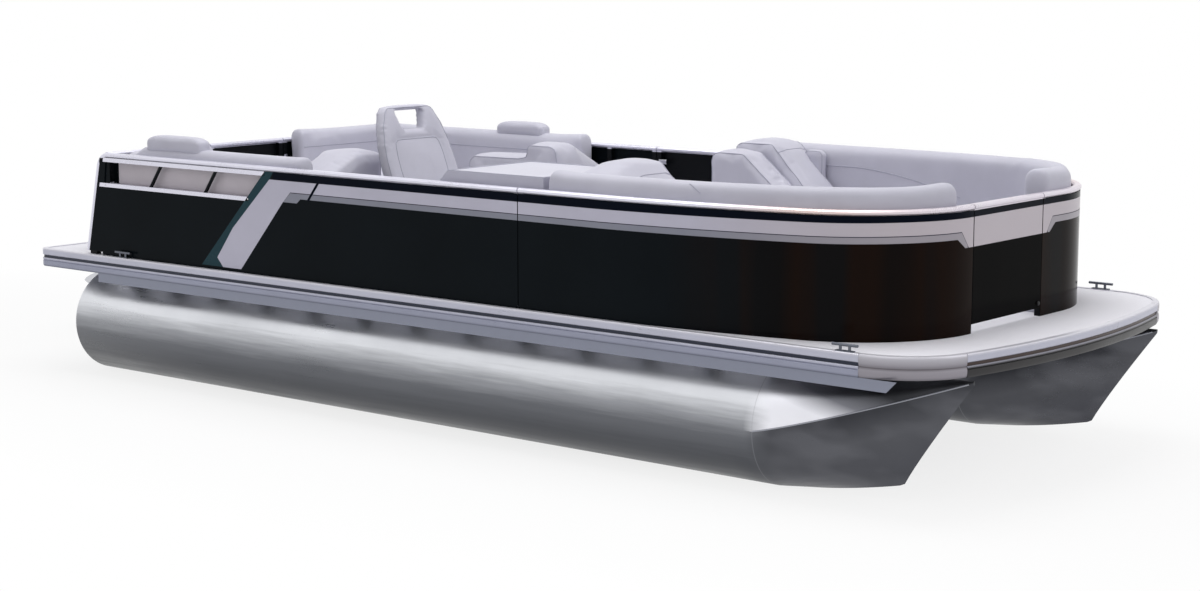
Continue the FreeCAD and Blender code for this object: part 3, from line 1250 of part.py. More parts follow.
def make_motor():
    make_clamp()
    make_swivel()
    cowl_low, gear_rear, shaft_z = make_leg()
    make_cowl(cowl_low)
    make_propeller(gear_rear, shaft_z)


# Ladder and cleats

def ladder_section(half, level, x0, x1):
    """Two side tubes and flat treads between x0 and x1."""
    along = vec(1, 0, 0)
    tubes = [Part.makeCylinder(LADDER_TUBE, x1 - x0, vec(x0, ladder_y + y, level), along)
             for y in (-half, half)]
    frame = tubes[0]
    for share in LADDER_TREAD_SHARES:
        x = LADDER_PIN_X + LADDER_LENGTH * share - LADDER_TREAD / 2
        frame = frame.fuse(box(x, x + LADDER_TREAD, ladder_y - half, ladder_y + half,
                               level - LADDER_TREAD_THICKNESS / 2, level + LADDER_TREAD_THICKNESS / 2))
    return frame.fuse(tubes[1])


def make_ladder():
    """Folding ladder on the stern deck, its lower section turned back over the upper one."""
    level = deck_top + LADDER_RISE
    half = LADDER_WIDTH / 2
    narrow = half - LADDER_NARROWING
    far = LADDER_PIN_X + LADDER_LENGTH
    across = vec(0, 1, 0)
    fold_z = level + LADDER_FOLD_STEP / 2
    lug = LADDER_LUG / 2
    upper = ladder_section(half, level, LADDER_PIN_X - LADDER_TUBE, far + LADDER_TUBE)
    lower = ladder_section(narrow, level + LADDER_FOLD_STEP, LADDER_PIN_X + LADDER_TUBE, far + LADDER_TUBE)
    for side in (-1, 1):
        y = ladder_y + side * half
        upper = upper.fuse(box(far - LADDER_TUBE, far + LADDER_TUBE, y - lug, y + lug, level,
                               fold_z + LADDER_TUBE))
        start = ladder_y + side * (half + lug)
        reach = -side * (LADDER_NARROWING + 2 * lug + LADDER_TUBE / 2)
        upper = upper.fuse(Part.makeCylinder(LADDER_PIN_RADIUS, abs(reach),
                                             vec(far, min(start, start + reach), fold_z), across))
        y = ladder_y + side * narrow
        lower = lower.fuse(box(far - LADDER_TUBE, far + LADDER_TUBE, y - lug, y + lug,
                               fold_z - LADDER_PIN_RADIUS * 2, level + LADDER_FOLD_STEP))
        lower = lower.cut(Part.makeCylinder(LADDER_PIN_RADIUS + RUNNING_FIT, 2 * LADDER_TUBE + OVERRUN,
                                            vec(far, y - LADDER_TUBE - OVERRUN / 2, fold_z), across))
    reach = half + LADDER_TUBE + OVERRUN
    upper = upper.cut(Part.makeCylinder(LADDER_PIN_RADIUS + RUNNING_FIT, 2 * reach,
                                        vec(LADDER_PIN_X, ladder_y - reach, level), across))
    nodes["ladder_upper"] = upper.removeSplitter()
    nodes["ladder_lower"] = lower.removeSplitter()
    inner = half + LADDER_TUBE + HINGE_PLAY
    outer = inner + LADDER_EAR
    low = deck_top + RAIL_LIP_THICKNESS
    brackets = Part.makeCylinder(LADDER_PIN_RADIUS, 2 * outer, vec(LADDER_PIN_X, ladder_y - outer, level),
                                 across)
    for y0, y1 in ((-outer, -inner), (inner, outer)):
        ear = box(LADDER_PIN_X - LADDER_TUBE, LADDER_FOOT, ladder_y + y0, ladder_y + y1, low,
                  level + LADDER_TUBE)
        foot = box(RAIL_LIP + SOFT_GAP, LADDER_FOOT, ladder_y + y0, ladder_y + y1, deck_top, low)
        brackets = brackets.fuse(ear).fuse(foot)
    nodes["ladder_brackets"] = brackets.removeSplitter()


def cleat(x, y, z):
    """Low two-horned cleat on two posts, along the boat."""
    rise = CLEAT_HEIGHT - CLEAT_HORN
    reach = CLEAT_LENGTH * CLEAT_BASE_SHARE
    body = box(-reach, reach, -CLEAT_WIDTH / 2, CLEAT_WIDTH / 2, 0, CLEAT_BASE)
    for side in (-1, 1):
        post = Part.makeCylinder(CLEAT_HORN, rise, vec(side * CLEAT_LENGTH * CLEAT_POST_SHARE, 0, 0))
        body = body.fuse(post)
    horn = Part.makeCylinder(CLEAT_HORN, CLEAT_LENGTH, vec(-CLEAT_LENGTH / 2, 0, rise), vec(1, 0, 0))
    return body.fuse(horn).translated(vec(x, y, z)).removeSplitter()


def cleat_places():
    """Middle of each cleat, on the lip of the side rails."""
    z = deck_top + RAIL_LIP_THICKNESS
    bow_x = bow_corner(0)[0] - BOW_CLEAT_SETBACK
    return [(x, side * (half_beam - CLEAT_EDGE), z) for x in (bow_x, STERN_CLEAT_X) for side in (-1, 1)]


def make_cleats():
    nodes["mooring_cleats"] = Part.makeCompound([cleat(x, y, z) for x, y, z in cleat_places()])


def overall_box():
    total = FreeCAD.BoundBox()
    for shape in nodes.values():
        total.add(shape.BoundBox)
    return total


make_tubes()
make_deck_frame()
make_deck()
make_deck_rails()
make_skirts()
make_fences()
make_gates()
make_lounges()
make_console()
make_wheel()
make_chair()
make_pod()
make_motor()
make_ladder()
make_cleats()

whole = overall_box()
shift = vec(-(whole.XMin + whole.XMax) / 2, 0, 0)
os.makedirs("parts", exist_ok=True)
for name, shape in nodes.items():
    shape.translated(shift).exportStep("parts/" + name + ".step")
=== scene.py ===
import bmesh
import bpy
import math
from mathutils import Matrix, Vector
from mathutils.bvhtree import BVHTree
from mathutils.geometry import tessellate_polygon


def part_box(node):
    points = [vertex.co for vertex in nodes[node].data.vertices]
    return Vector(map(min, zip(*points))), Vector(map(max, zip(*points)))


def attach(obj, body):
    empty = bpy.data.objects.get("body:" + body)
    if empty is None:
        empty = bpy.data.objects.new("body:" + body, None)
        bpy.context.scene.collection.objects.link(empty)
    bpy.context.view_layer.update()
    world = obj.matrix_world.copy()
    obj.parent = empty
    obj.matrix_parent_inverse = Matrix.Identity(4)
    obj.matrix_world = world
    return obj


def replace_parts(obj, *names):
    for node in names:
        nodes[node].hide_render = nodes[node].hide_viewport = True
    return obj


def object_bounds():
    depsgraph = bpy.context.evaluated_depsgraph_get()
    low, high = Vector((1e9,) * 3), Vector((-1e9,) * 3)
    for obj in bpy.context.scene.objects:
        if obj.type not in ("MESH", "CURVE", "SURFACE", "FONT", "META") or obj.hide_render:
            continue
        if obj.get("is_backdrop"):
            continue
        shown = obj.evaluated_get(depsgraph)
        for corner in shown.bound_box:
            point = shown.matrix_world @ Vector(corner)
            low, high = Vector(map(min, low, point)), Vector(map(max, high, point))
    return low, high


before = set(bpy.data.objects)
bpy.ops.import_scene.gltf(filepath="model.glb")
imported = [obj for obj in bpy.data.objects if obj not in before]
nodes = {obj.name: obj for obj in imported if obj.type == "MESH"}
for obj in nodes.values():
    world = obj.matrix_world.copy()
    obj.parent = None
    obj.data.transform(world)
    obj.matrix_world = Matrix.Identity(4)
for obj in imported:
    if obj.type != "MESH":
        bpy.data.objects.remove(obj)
cad_low, cad_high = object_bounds()

# Boat coordinates: metres, x forward from the stern edge of the deck. SHIFT moves them into the frame.
DECK_LENGTH = 6.560
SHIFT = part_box("deck_rails_end")[1].x - DECK_LENGTH
HULL = "hull"
SIDES = ((-1, "starboard"), (1, "port"))


def at(x, y, z):
    return Vector((x + SHIFT, y, z))


def mirrored(side):
    """Places for points given on the starboard side; side 1 mirrors them to port."""
    return lambda x, y, z: at(x, -y * side, z)


def steps(start, end, count):
    return [start + (end - start) * index / count for index in range(count + 1)]


def arc(x, y, radius, start, end, count=5):
    """Points of an arc; angles in degrees from the first axis towards the second."""
    return [(x + radius * math.cos(math.radians(a)), y + radius * math.sin(math.radians(a)))
            for a in steps(start, end, count)]


def circle(radius, count):
    return [(radius * math.cos(a), radius * math.sin(a)) for a in steps(0, 2 * math.pi, count)[:-1]]


def clamp(value):
    return max(0.0, min(1.0, value))


def blend(first, second, share):
    return first * (1 - share) + second * share


def turn_to(axis):
    return Vector((0, 0, 1)).rotation_difference(Vector(axis)).to_matrix()


def shade(colour, factor):
    return tuple(clamp(part * factor) for part in colour)


def srgb(*colour):
    parts = [part / 255 for part in colour]
    return tuple(part / 12.92 if part <= 0.04045 else ((part + 0.055) / 1.055) ** 2.4 for part in parts)


# Shaders

LEVELS = {"metallic": "Metallic", "level": "Specular IOR Level", "coat": "Coat Weight",
          "coat_rough": "Coat Roughness", "sheen": "Sheen Weight"}


class Shader:
    """Nodes of a material or world. Inputs take an output to join, or a number, vector or colour."""

    def __init__(self, owner, output="OutputMaterial"):
        owner.use_nodes = True
        self.owner, self.tree = owner, owner.node_tree
        self.tree.nodes.clear()
        self.output = self.node(output)

    def node(self, kind, inputs=None, **settings):
        made = self.tree.nodes.new("ShaderNode" + kind)
        for name, value in settings.items():
            setattr(made, name, value)
        for key, value in (inputs or {}).items():
            socket = made.inputs[key]
            if hasattr(value, "links"):
                self.tree.links.new(value, socket)
            else:
                socket.default_value = (*value, 1) if socket.type == "RGBA" else value
        return made

    def add(self, kind, inputs=None, out=0, **settings):
        return self.node(kind, inputs, **settings).outputs[out]

    def end(self, shader):
        self.tree.links.new(shader, self.output.inputs[0])
        return self.owner

    def calc(self, operation, first, second=0.0):
        return self.add("Math", {0: first, 1: second}, operation=operation)

    def coords(self, scale=(1, 1, 1)):
        return self.add("Mapping", {0: self.add("TexCoord", out="Object"), "Scale": scale})

    def axis(self, name):
        """One coordinate of the surface point, x in boat coordinates."""
        value = self.add("SeparateXYZ", {0: self.add("TexCoord", out="Object")}, "XYZ".index(name))
        return self.calc("SUBTRACT", value, SHIFT) if name == "X" else value

    def noise(self, vector, scale, detail=3.0, rough=0.5):
        return self.add("TexNoise", {"Vector": vector, "Scale": scale, "Detail": detail, "Roughness": rough})

    def ramp(self, value, stops):
        made = self.node("ValToRGB", {0: value})
        while len(made.color_ramp.elements) < len(stops):
            made.color_ramp.elements.new(0.5)
        for mark, (place, colour) in zip(made.color_ramp.elements, stops):
            mark.position = place
            mark.color = (*colour, 1)
        return made.outputs[0]

    def span(self, value, low, high, start=0.3, end=0.7):
        return self.add("MapRange", {"Value": value, "From Min": start, "From Max": end, "To Min": low,
                                     "To Max": high})

    def band(self, value, low, high, soft=0.0008):
        """1 between low and high, 0 outside."""
        return self.calc("MULTIPLY", self.span(value, 0, 1, low - soft, low + soft),
                         self.span(value, 1, 0, high - soft, high + soft))

    def mix(self, share, first, second):
        return self.add("Mix", {0: share, 6: first, 7: second}, 2, data_type="RGBA")

    def mottled(self, colour, variation, scale):
        """Soft drift of a colour, with the noise that makes it."""
        clouds = self.noise(self.coords(), scale, 5.0, 0.55)
        tones = [(0.3, shade(colour, 1 - variation)), (0.7, shade(colour, 1 + variation))]
        return self.ramp(clouds, tones), clouds

    def brushed(self, clouds, rough, streak, depth):
        """Roughness and bump of a metal with streaks along one axis."""
        lines = self.noise(self.coords(streak), 6.0, 5.0, 0.65)
        both = self.calc("ADD", lines, clouds)
        return self.span(both, rough * 0.75, rough * 1.35, 0.7, 1.3), (lines, depth, 0.0004)

    def surface(self, base, rough, relief, **levels):
        """Ends the material; relief is the height, strength and distance of its bump."""
        bump = self.add("Bump", dict(zip(("Height", "Strength", "Distance"), relief)))
        inputs = {"Base Color": base, "Roughness": rough, "Normal": bump}
        inputs.update((LEVELS[key], value) for key, value in levels.items())
        return self.end(self.add("BsdfPrincipled", inputs))

    def direct(self):
        """1 for rays that see the background itself: camera, mirror and see-through rays."""
        path = self.node("LightPath")
        value = path.outputs["Is Camera Ray"]
        for name in ("Is Glossy Ray", "Is Transmission Ray"):
            value = self.calc("MAXIMUM", value, path.outputs[name])
        return value


def look(name):
    return Shader(bpy.data.materials.new(name))


def vinyl(name, colour, grain=0.22):
    """Upholstery vinyl: leather-like grain, soft mottling, low sheen."""
    made = look(name)
    base, _ = made.mottled(colour, 0.035, 5.0)
    vector = made.coords()
    cells = made.add("TexVoronoi", {"Vector": vector, "Scale": 620.0}, "Distance")
    fine = made.noise(vector, 260.0, 4.0, 0.6)
    relief = (made.calc("ADD", cells, fine), grain, 0.0006)
    return made.surface(base, made.span(fine, 0.44, 0.58), relief, sheen=0.05, level=0.3)


def metal(name, colour, rough=0.3, streak=(2, 90, 90), variation=0.06, depth=0.12, metallic=1.0):
    """Brushed or mill-finish metal: streaks along one axis and cloudy wear."""
    made = look(name)
    base, clouds = made.mottled(colour, variation, 2.0)
    return made.surface(base, *made.brushed(clouds, rough, streak, depth), metallic=metallic)


def paint(name, colour, rough=0.25, coat=0.3, metallic=0.0, level=0.3, bow=None):
    """Painted sheet: faint orange peel and soft drift; bow is the colour it turns to round the bow, a
    painted reflection.
    """
    made = look(name)
    base, clouds = made.mottled(colour, 0.05, 3.0)
    if bow:
        # Painted reflection: round the bow the colour turns to the bow colour.
        base = made.mix(made.span(made.axis("X"), 0, 1, 5.0, 6.0), base, bow)
    peel = made.noise(made.coords(), 180.0, 2.0)
    return made.surface(base, made.span(clouds, rough * 0.8, rough * 1.3), (peel, 0.06, 0.0003), coat=coat,
                        coat_rough=0.08, metallic=metallic, level=level)


def plastic(name, colour, rough=0.45, grain=0.3, scale=420.0):
    made = look(name)
    base, _ = made.mottled(colour, 0.04, 4.0)
    pores = made.noise(made.coords(), scale, 3.0, 0.6)
    return made.surface(base, made.span(pores, rough * 0.85, rough * 1.2), (pores, grain, 0.0004),
                        level=0.35)


def woven(name, colour, dark):
    """Woven vinyl deck covering."""
    made = look(name)
    vector = made.coords()
    wave = {"Vector": vector, "Scale": 60.0, "Distortion": 0.6, "Detail": 1.0, "Detail Scale": 3.0}
    weave = made.calc("MULTIPLY", *(made.add("TexWave", wave, "Fac", bands_direction=way) for way in "XY"))
    clouds = made.noise(vector, 3.0, 5.0)
    tone = made.mix(made.span(weave, 0.0, 1.0, 0.0, 0.6), dark, colour)
    worn = made.mix(made.span(clouds, 0.0, 0.22), tone, shade(colour, 0.8))
    return made.surface(worn, 0.68, (weave, 0.5, 0.0008))


def treaded(name, colour):
    """Ribbed grip strip."""
    made = look(name)
    wave = made.add("TexWave", {"Vector": made.coords(), "Scale": 45.0}, "Fac", bands_direction="Y")
    base, _ = made.mottled(colour, 0.1, 30.0)
    return made.surface(base, 0.7, (wave, 0.6, 0.001))


def panel_gloss(name, level, *tones):
    """Near-black gloss sheet that turns to other tones round the bow: streaks of painted reflection."""
    made = look(name)
    cool, _ = made.mottled(srgb(16, 21, 25), 0.15, 1.5)
    streaks = made.noise(made.coords((2.4, 2.4, 0.12)), 1.6, 1.0)
    # Painted warm reflection in vertical streaks round the bow.
    warm_reflection = made.ramp(streaks, [(place, srgb(*tone)) for place, tone in zip((0.36, 0.5, 0.62), tones)])
    peel = made.noise(made.coords(), 150.0, 2.0)
    return made.surface(made.mix(made.span(made.axis("X"), 0, 1, 4.9, 5.6), cool, warm_reflection),
                        made.span(peel, 0.10, 0.18), (peel, 0.03, 0.0003), level=level)


def fence_metal(name):
    """Silver top rails, raked rear rails and window sills over black posts and feet; the rails take a
    painted reflection round the bow.
    """
    made = look(name)
    x, z = made.axis("X"), made.axis("Z")
    silver, clouds = made.mottled(srgb(220, 219, 232), 0.05, 2.0)
    # Painted warm reflection on the rails round the bow.
    warm_reflection = made.mix(made.band(x, 5.35, 6.05, 0.25), silver, srgb(222, 202, 198))
    top = made.calc("GREATER_THAN", z, 1.3585)
    rake = made.calc("LESS_THAN", made.calc("SUBTRACT", x, made.calc("MULTIPLY", z, 0.2286)), 0.268)
    sill = made.calc("MULTIPLY", made.band(z, 1.1825, 1.208), made.calc("LESS_THAN", x, 1.91))
    bright = made.calc("MAXIMUM", made.calc("MAXIMUM", top, rake), sill)
    streaks = made.brushed(clouds, 0.3, (3, 60, 60), 0.08)
    return made.surface(made.mix(bright, srgb(13, 15, 18), warm_reflection), *streaks,
                        metallic=made.calc("MULTIPLY", bright, 0.75), level=0.1)


def edge_metal(name):
    """Deck edge rail: light ribs with a painted highlight on the top lip, over a dark groove of painted
    shade and a darker lower half, darker again at the foot; round the bow the lower half and the groove take
    a painted dark, brown reflection.
    """
    made = look(name)
    x, z = made.axis("X"), made.axis("Z")
    light, clouds = made.mottled(srgb(188, 189, 204), 0.05, 2.5)
    low, _ = made.mottled(srgb(150, 153, 172), 0.06, 2.5)
    # Round the bow: painted dark, brown reflection on the lower half and in the groove.
    ahead = made.span(x, 0, 1, 6.08, 6.12)
    low = made.mix(ahead, low, srgb(30, 28, 30))
    level = made.calc("SUBTRACT", z, made.calc("MULTIPLY", ahead, 0.008))
    tone = made.mix(made.span(level, 1, 0, 0.690, 0.706), light, low)
    # Painted highlight along the top lip.
    lip = made.mix(made.span(z, 0, 1, 0.752, 0.764), tone, srgb(214, 213, 222))
    # Painted shade in the groove, browner round the bow.
    dark = made.mix(ahead, srgb(30, 36, 54), srgb(56, 40, 36))
    groove = made.mix(made.band(z, 0.7085, 0.7255), lip, dark)
    under = made.mix(ahead, srgb(92, 96, 112), srgb(34, 33, 36))
    foot = made.mix(made.span(z, 1, 0, 0.655, 0.668), groove, under)
    return made.surface(foot, *made.brushed(clouds, 0.34, (3, 60, 60), 0.08), metallic=0.35)


def casting_metal(name):
    """Cast corner: two soft horizontal ribs, bumped, with their light and shade painted in bands by height
    and a thin painted shadow line between them.
    """
    made = look(name)
    height = made.span(made.axis("Z"), 0, 1, 0.655, 0.7665)
    # Bands by height: painted light on the ribs, painted shade below them and a painted shadow line between
    # them.
    tones = ((0.0, (106, 103, 110)), (0.12, (146, 142, 150)), (0.36, (154, 150, 158)),
             (0.44, (124, 120, 127)), (0.465, (74, 69, 74)), (0.49, (124, 120, 127)),
             (0.62, (156, 153, 161)), (0.86, (186, 184, 192)), (1.0, (214, 213, 221)))
    bulges = ((0.0, 0.2), (0.25, 1.0), (0.47, 0.0), (0.8, 1.0), (1.0, 0.4))
    clouds = made.noise(made.coords(), 3.0, 5.0)
    ridge_light_and_shade = made.ramp(height, [(place, srgb(*tone)) for place, tone in tones])
    worn = made.mix(made.span(clouds, 0.0, 0.14), ridge_light_and_shade, srgb(150, 146, 152))
    bulge = made.ramp(height, [(place, (level,) * 3) for place, level in bulges])
    return made.surface(worn, made.span(clouds, 0.34, 0.5), (bulge, 0.3, 0.002), metallic=0.35)


# Tubes: radius, distance from the middle; start, length and stem of the nose; rise and bend of its chines
RADIUS, TUBE_Y = 0.3175, 0.950
NOSE_X, NOSE_LONG, STEM = 5.450, 1.020, 0.660
CHINE_RISE, CHINE_BEND = 0.3105, 1.15


def tube_metal(name):
    """Mill-finish tube: long streaks; painted reflection by height, bright on the shoulder and dull on the
    underside; dark nose under its chines, a painted reflection with soft painted highlights, and a painted
    highlight along the chines.
    """
    made = look(name)
    x, z = made.axis("X"), made.axis("Z")
    streak = made.noise(made.coords((0.7, 14.0, 14.0)), 2.2, 5.0, 0.6)
    clouds = made.noise(made.coords(), 1.4, 5.0, 0.6)
    # Painted reflection by height: dark underside, bright shoulder.
    stops = [(0.0, 60), (0.15, 72), (0.28, 102), (0.36, 154), (0.45, 230), (0.52, 242), (0.6, 236)]
    body = made.ramp(made.calc("ADD", z, made.span(streak, -0.02, 0.02)),
                     [(place, srgb(tone, tone + 2, tone + 7)) for place, tone in stops])
    share = made.add("Clamp", {0: made.calc("DIVIDE", made.calc("SUBTRACT", x, NOSE_X), NOSE_LONG)})
    rise = made.calc("MULTIPLY", made.calc("POWER", share, CHINE_BEND), CHINE_RISE)
    above = made.calc("SUBTRACT", z, made.calc("ADD", rise, RADIUS))
    # Nose sides under the chines: painted dark reflection.
    side = made.ramp(made.calc("ADD", above, 0.6), [(0.0, srgb(52, 53, 58)), (0.3, srgb(76, 77, 83)),
                                                    (0.45, srgb(80, 81, 86)), (0.58, srgb(48, 49, 54))])
    # Soft painted highlights on the nose sides.
    soft_highlights = made.noise(made.coords((1.0, 1.0, 2.2)), 2.6, 2.0)
    side = made.mix(made.span(soft_highlights, 0.0, 0.5, 0.42, 0.62), side, srgb(106, 107, 113))
    # Nose top: painted highlight along the chines, fading forward and upward to a painted dark reflection.
    crown = made.ramp(made.calc("ADD", share, made.calc("MULTIPLY", above, 1.6)),
                      [(0.0, srgb(246, 246, 252)), (0.34, srgb(242, 242, 249)), (0.50, srgb(120, 121, 128)),
                       (0.68, srgb(30, 31, 34)), (1.0, srgb(24, 25, 28))])
    # Nose colour: painted reflection and painted highlight throughout.
    nose = made.mix(made.calc("GREATER_THAN", above, -0.001), side, crown)
    ahead = made.span(made.calc("ADD", x, made.span(streak, -0.01, 0.01)), 0, 1, 5.40, 5.54)
    joint = made.calc("MULTIPLY", made.band(x, 5.447, 5.452), 0.25)
    tone = made.mix(joint, made.mix(ahead, body, nose), srgb(150, 151, 156))
    worn = made.mix(made.span(clouds, 0.0, 0.16), tone, srgb(120, 122, 128))
    rough = made.span(made.calc("ADD", streak, clouds), 0.26, 0.44, 0.7, 1.3)
    return made.surface(worn, rough, (streak, 0.12, 0.0006), metallic=0.85)


VINYL = vinyl("seat_vinyl", srgb(192, 191, 204))
PIPING = vinyl("piping_vinyl", srgb(168, 168, 183), grain=0.15)
# The last three tones of each are the painted reflection round the bow.
BLACK = panel_gloss("panel_black", 0.03, (15, 13, 13), (27, 16, 11), (18, 17, 18))
GATE_BLACK = panel_gloss("gate_black", 0.01, (12, 12, 12), (14, 13, 13), (13, 13, 13))
NAVY = paint("stripe_navy", srgb(6, 12, 25), rough=0.2, coat=0.0, level=0.03)
SATIN = {"rough": 0.35, "coat": 0.1, "metallic": 0.15}
# Their bow colours are a painted reflection round the bow.
SILVER = paint("stripe_silver", srgb(186, 184, 200), bow=srgb(190, 182, 189), **SATIN)
GREY = paint("stripe_grey", srgb(130, 132, 145), bow=srgb(158, 153, 161), **SATIN)
TEAL = paint("stripe_teal", srgb(38, 64, 72), rough=0.24, coat=0.0, level=0.05)
LINE = paint("stripe_line", srgb(56, 54, 66), rough=0.4, coat=0.0, level=0.05)
RAIL = metal("rail_anodised", srgb(220, 219, 232), rough=0.28, streak=(3, 60, 60), variation=0.05,
             metallic=0.75)
FENCE = fence_metal("fence_frame_finish")
TUBE = tube_metal("tube_mill_aluminium")
FRAME_METAL = metal("frame_aluminium", srgb(150, 152, 160), rough=0.36)
SKIRT = paint("skirt_paint", srgb(140, 144, 160), rough=0.4, coat=0.1, metallic=0.3)
DECK_EDGE = edge_metal("deck_edge_finish_with_painted_light")
CASTING = casting_metal("casting_wear_and_painted_light")
DECK = woven("deck_woven_vinyl", srgb(244, 243, 249), srgb(230, 229, 237))
BASE = plastic("lounge_base_plastic", srgb(184, 184, 195))
BACKING = plastic("window_backing", srgb(196, 189, 196), rough=0.5, grain=0.1)
# Darker plastic of the kick strips: painted shade of a recess.
BASE_RECESS_SHADE = plastic("lounge_base_recess_painted_shade", srgb(96, 97, 106))
CONSOLE = plastic("console_plastic", srgb(190, 189, 204), rough=0.32, grain=0.1)
DASH = plastic("dash_plastic", srgb(34, 36, 41), rough=0.42, grain=0.35)
GLASS = paint("gauge_glass", srgb(16, 20, 26), rough=0.06, coat=0.8, level=0.5)
RUBBER = plastic("wheel_rubber", srgb(28, 28, 31), rough=0.55, grain=0.4, scale=300.0)
STEEL = metal("bright_steel", srgb(200, 201, 206), rough=0.14, variation=0.03, depth=0.04)
MOTOR = paint("motor_paint", srgb(30, 33, 38), rough=0.22, coat=0.5, metallic=0.4)
MOTOR_GREY = paint("motor_grey", srgb(118, 121, 128), rough=0.3, coat=0.3, metallic=0.4)
DARK_METAL = metal("channel_aluminium", srgb(104, 107, 116), rough=0.45)
TREAD = treaded("tread_grip", srgb(44, 45, 49))

# Slot of a piece by its material, unless its call names another
SLOTS = {}
for slot, materials in (
        ("panel_paint", (BLACK, GATE_BLACK, NAVY, SILVER, GREY, TEAL, LINE, RAIL)),
        ("lounge_plastic", (BASE, BASE_RECESS_SHADE, BACKING)), ("console_plastic", (CONSOLE, DASH, GLASS)),
        ("wheel_rubber", (RUBBER, TREAD)), ("bright_steel", (STEEL,)), ("motor_paint", (MOTOR_GREY,)),
        ("rail_aluminium", (CASTING,)), ("tube_aluminium", (TUBE, FRAME_METAL)),
        ("seat_vinyl", (VINYL, PIPING))):
    SLOTS.update(dict.fromkeys(materials, slot))

# Materials of the CAD nodes, by the start of their names
DRESS = {
    TUBE: ("tube_starboard", "tube_port"), FRAME_METAL: ("tube_risers", "motor_pod"), DECK: ("deck_panel",),
    DARK_METAL: ("cross_channels", "mooring_cleats"), DECK_EDGE: ("deck_rails",), SKIRT: ("side_skirts",),
    CASTING: ("bow_corner_castings",), FENCE: ("fence_frame", "gate_bow", "gate_stern", "gate_port"),
    BLACK: ("fence_skin",), BASE: ("lounge_base",), CONSOLE: ("helm_console",), RUBBER: ("steering_wheel",),
    STEEL: ("gate_hinges", "chair_pedestal", "propeller", "ladder_brackets"),
    MOTOR: ("motor_clamp", "motor_swivel", "motor_leg", "motor_cowl"),
    RAIL: ("ladder_upper", "ladder_lower"),
}


def smooth_modifier(angle):
    """Geometry nodes that shade a mesh smooth, with edges sharper than the angle kept."""
    tree = bpy.data.node_groups.new("smooth_by_angle", "GeometryNodeTree")
    for way in ("INPUT", "OUTPUT"):
        tree.interface.new_socket("Geometry", in_out=way, socket_type="NodeSocketGeometry")
    start, merge, plain, faces, edges, end, bend, sharp = (tree.nodes.new(kind) for kind in (
        "NodeGroupInput", "GeometryNodeMergeByDistance", "GeometryNodeRemoveAttribute",
        "GeometryNodeSetShadeSmooth", "GeometryNodeSetShadeSmooth", "NodeGroupOutput",
        "GeometryNodeInputMeshEdgeAngle", "FunctionNodeCompare"))
    merge.inputs["Distance"].default_value = 0.00002
    plain.inputs["Name"].default_value = "custom_normal"
    edges.domain = "EDGE"
    edges.inputs["Shade Smooth"].default_value = False
    sharp.operation = "GREATER_THAN"
    sharp.inputs[1].default_value = angle
    tree.links.new(bend.outputs[0], sharp.inputs[0])
    tree.links.new(sharp.outputs[0], edges.inputs["Selection"])
    chain = (start, merge, plain, faces, edges, end)
    for first, second in zip(chain, chain[1:]):
        tree.links.new(first.outputs[0], second.inputs[0])
    return tree


SMOOTH = smooth_modifier(math.radians(32))


def rounded(thing):
    thing.modifiers.new("smooth", "NODES").node_group = SMOOTH
    return thing


for material, starts in DRESS.items():
    for node in [nodes[name] for name in nodes if name.startswith(starts)]:
        if not node.material_slots:
            node.data.materials.append(material)
        for slot in node.material_slots:
            slot.material = material
        rounded(node)


# Mesh helpers

def link(name, data, material, body=HULL, slot=None):
    """Object of a mesh or curve, with its material and on its body; its slot is worked out but not given to
    it.
    """
    made = bpy.data.objects.new(name, data)
    data.materials.append(material)
    bpy.context.scene.collection.objects.link(made)
    if body:
        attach(made, body)
    slot = slot or SLOTS.get(material)
    return made


def shade_faces(mesh, smooth):
    for polygon in mesh.polygons:
        polygon.use_smooth = smooth


def piece(name, vertices, faces, material, body=HULL, slot=None, smooth=False):
    mesh = bpy.data.meshes.new(name)
    mesh.from_pydata([tuple(v) for v in vertices], [], faces)
    mesh.update()
    shade_faces(mesh, smooth)
    return link(name, mesh, material, body, slot)


def from_bmesh(name, made, material, body=HULL, slot=None, smooth=True):
    mesh = bpy.data.meshes.new(name)
    made.to_mesh(mesh)
    made.free()
    shade_faces(mesh, smooth)
    thing = link(name, mesh, material, body, slot)
    return rounded(thing) if smooth else thing


def ring_faces(rows, count):
    """Faces over closed rings of count points, with a cap at each end."""
    last = (rows - 1) * count
    faces = [(i + j, i + (j + 1) % count, i + count + (j + 1) % count, i + count + j)
             for i in range(0, last, count) for j in range(count)]
    return faces + [tuple(range(count))[::-1], tuple(range(last, last + count))]


def skin(name, rings, material, body=HULL, merge=False):
    """Closed skin over rings of points, its faces turned outwards."""
    made = piece(name, [point for ring in rings for point in ring], ring_faces(len(rings), len(rings[0])),
                 material, body, smooth=True)
    shape = bmesh.new()
    shape.from_mesh(made.data)
    if merge:
        bmesh.ops.remove_doubles(shape, verts=shape.verts[:], dist=0.0001)
    bmesh.ops.recalc_face_normals(shape, faces=shape.faces[:])
    shape.to_mesh(made.data)
    shape.free()
    return made


def block(name, centre, size, edge, material, body=HULL, turn=None):
    """Box with rounded edges; turn is a rotation about its centre."""
    made = bmesh.new()
    bmesh.ops.create_cube(made, size=1.0)
    bmesh.ops.scale(made, vec=size, verts=made.verts)
    bmesh.ops.bevel(made, geom=made.edges[:], offset=edge, segments=3, profile=0.6, affect="EDGES")
    matrix = Matrix.Translation(at(*centre)) @ (turn or Matrix()).to_4x4()
    bmesh.ops.transform(made, matrix=matrix, verts=made.verts)
    return from_bmesh(name, made, material, body)


def lathe(name, profile, place, axis, material, body=HULL, slot=None, sides=32):
    """Turned piece: profile of (radius, height) along the axis from place."""
    turn = turn_to(axis)
    vertices = [at(*place) + turn @ Vector((x, y, height)) for radius, height in profile
                for x, y in circle(radius, sides)]
    return rounded(piece(name, vertices, ring_faces(len(profile), sides), material, body, slot, True))


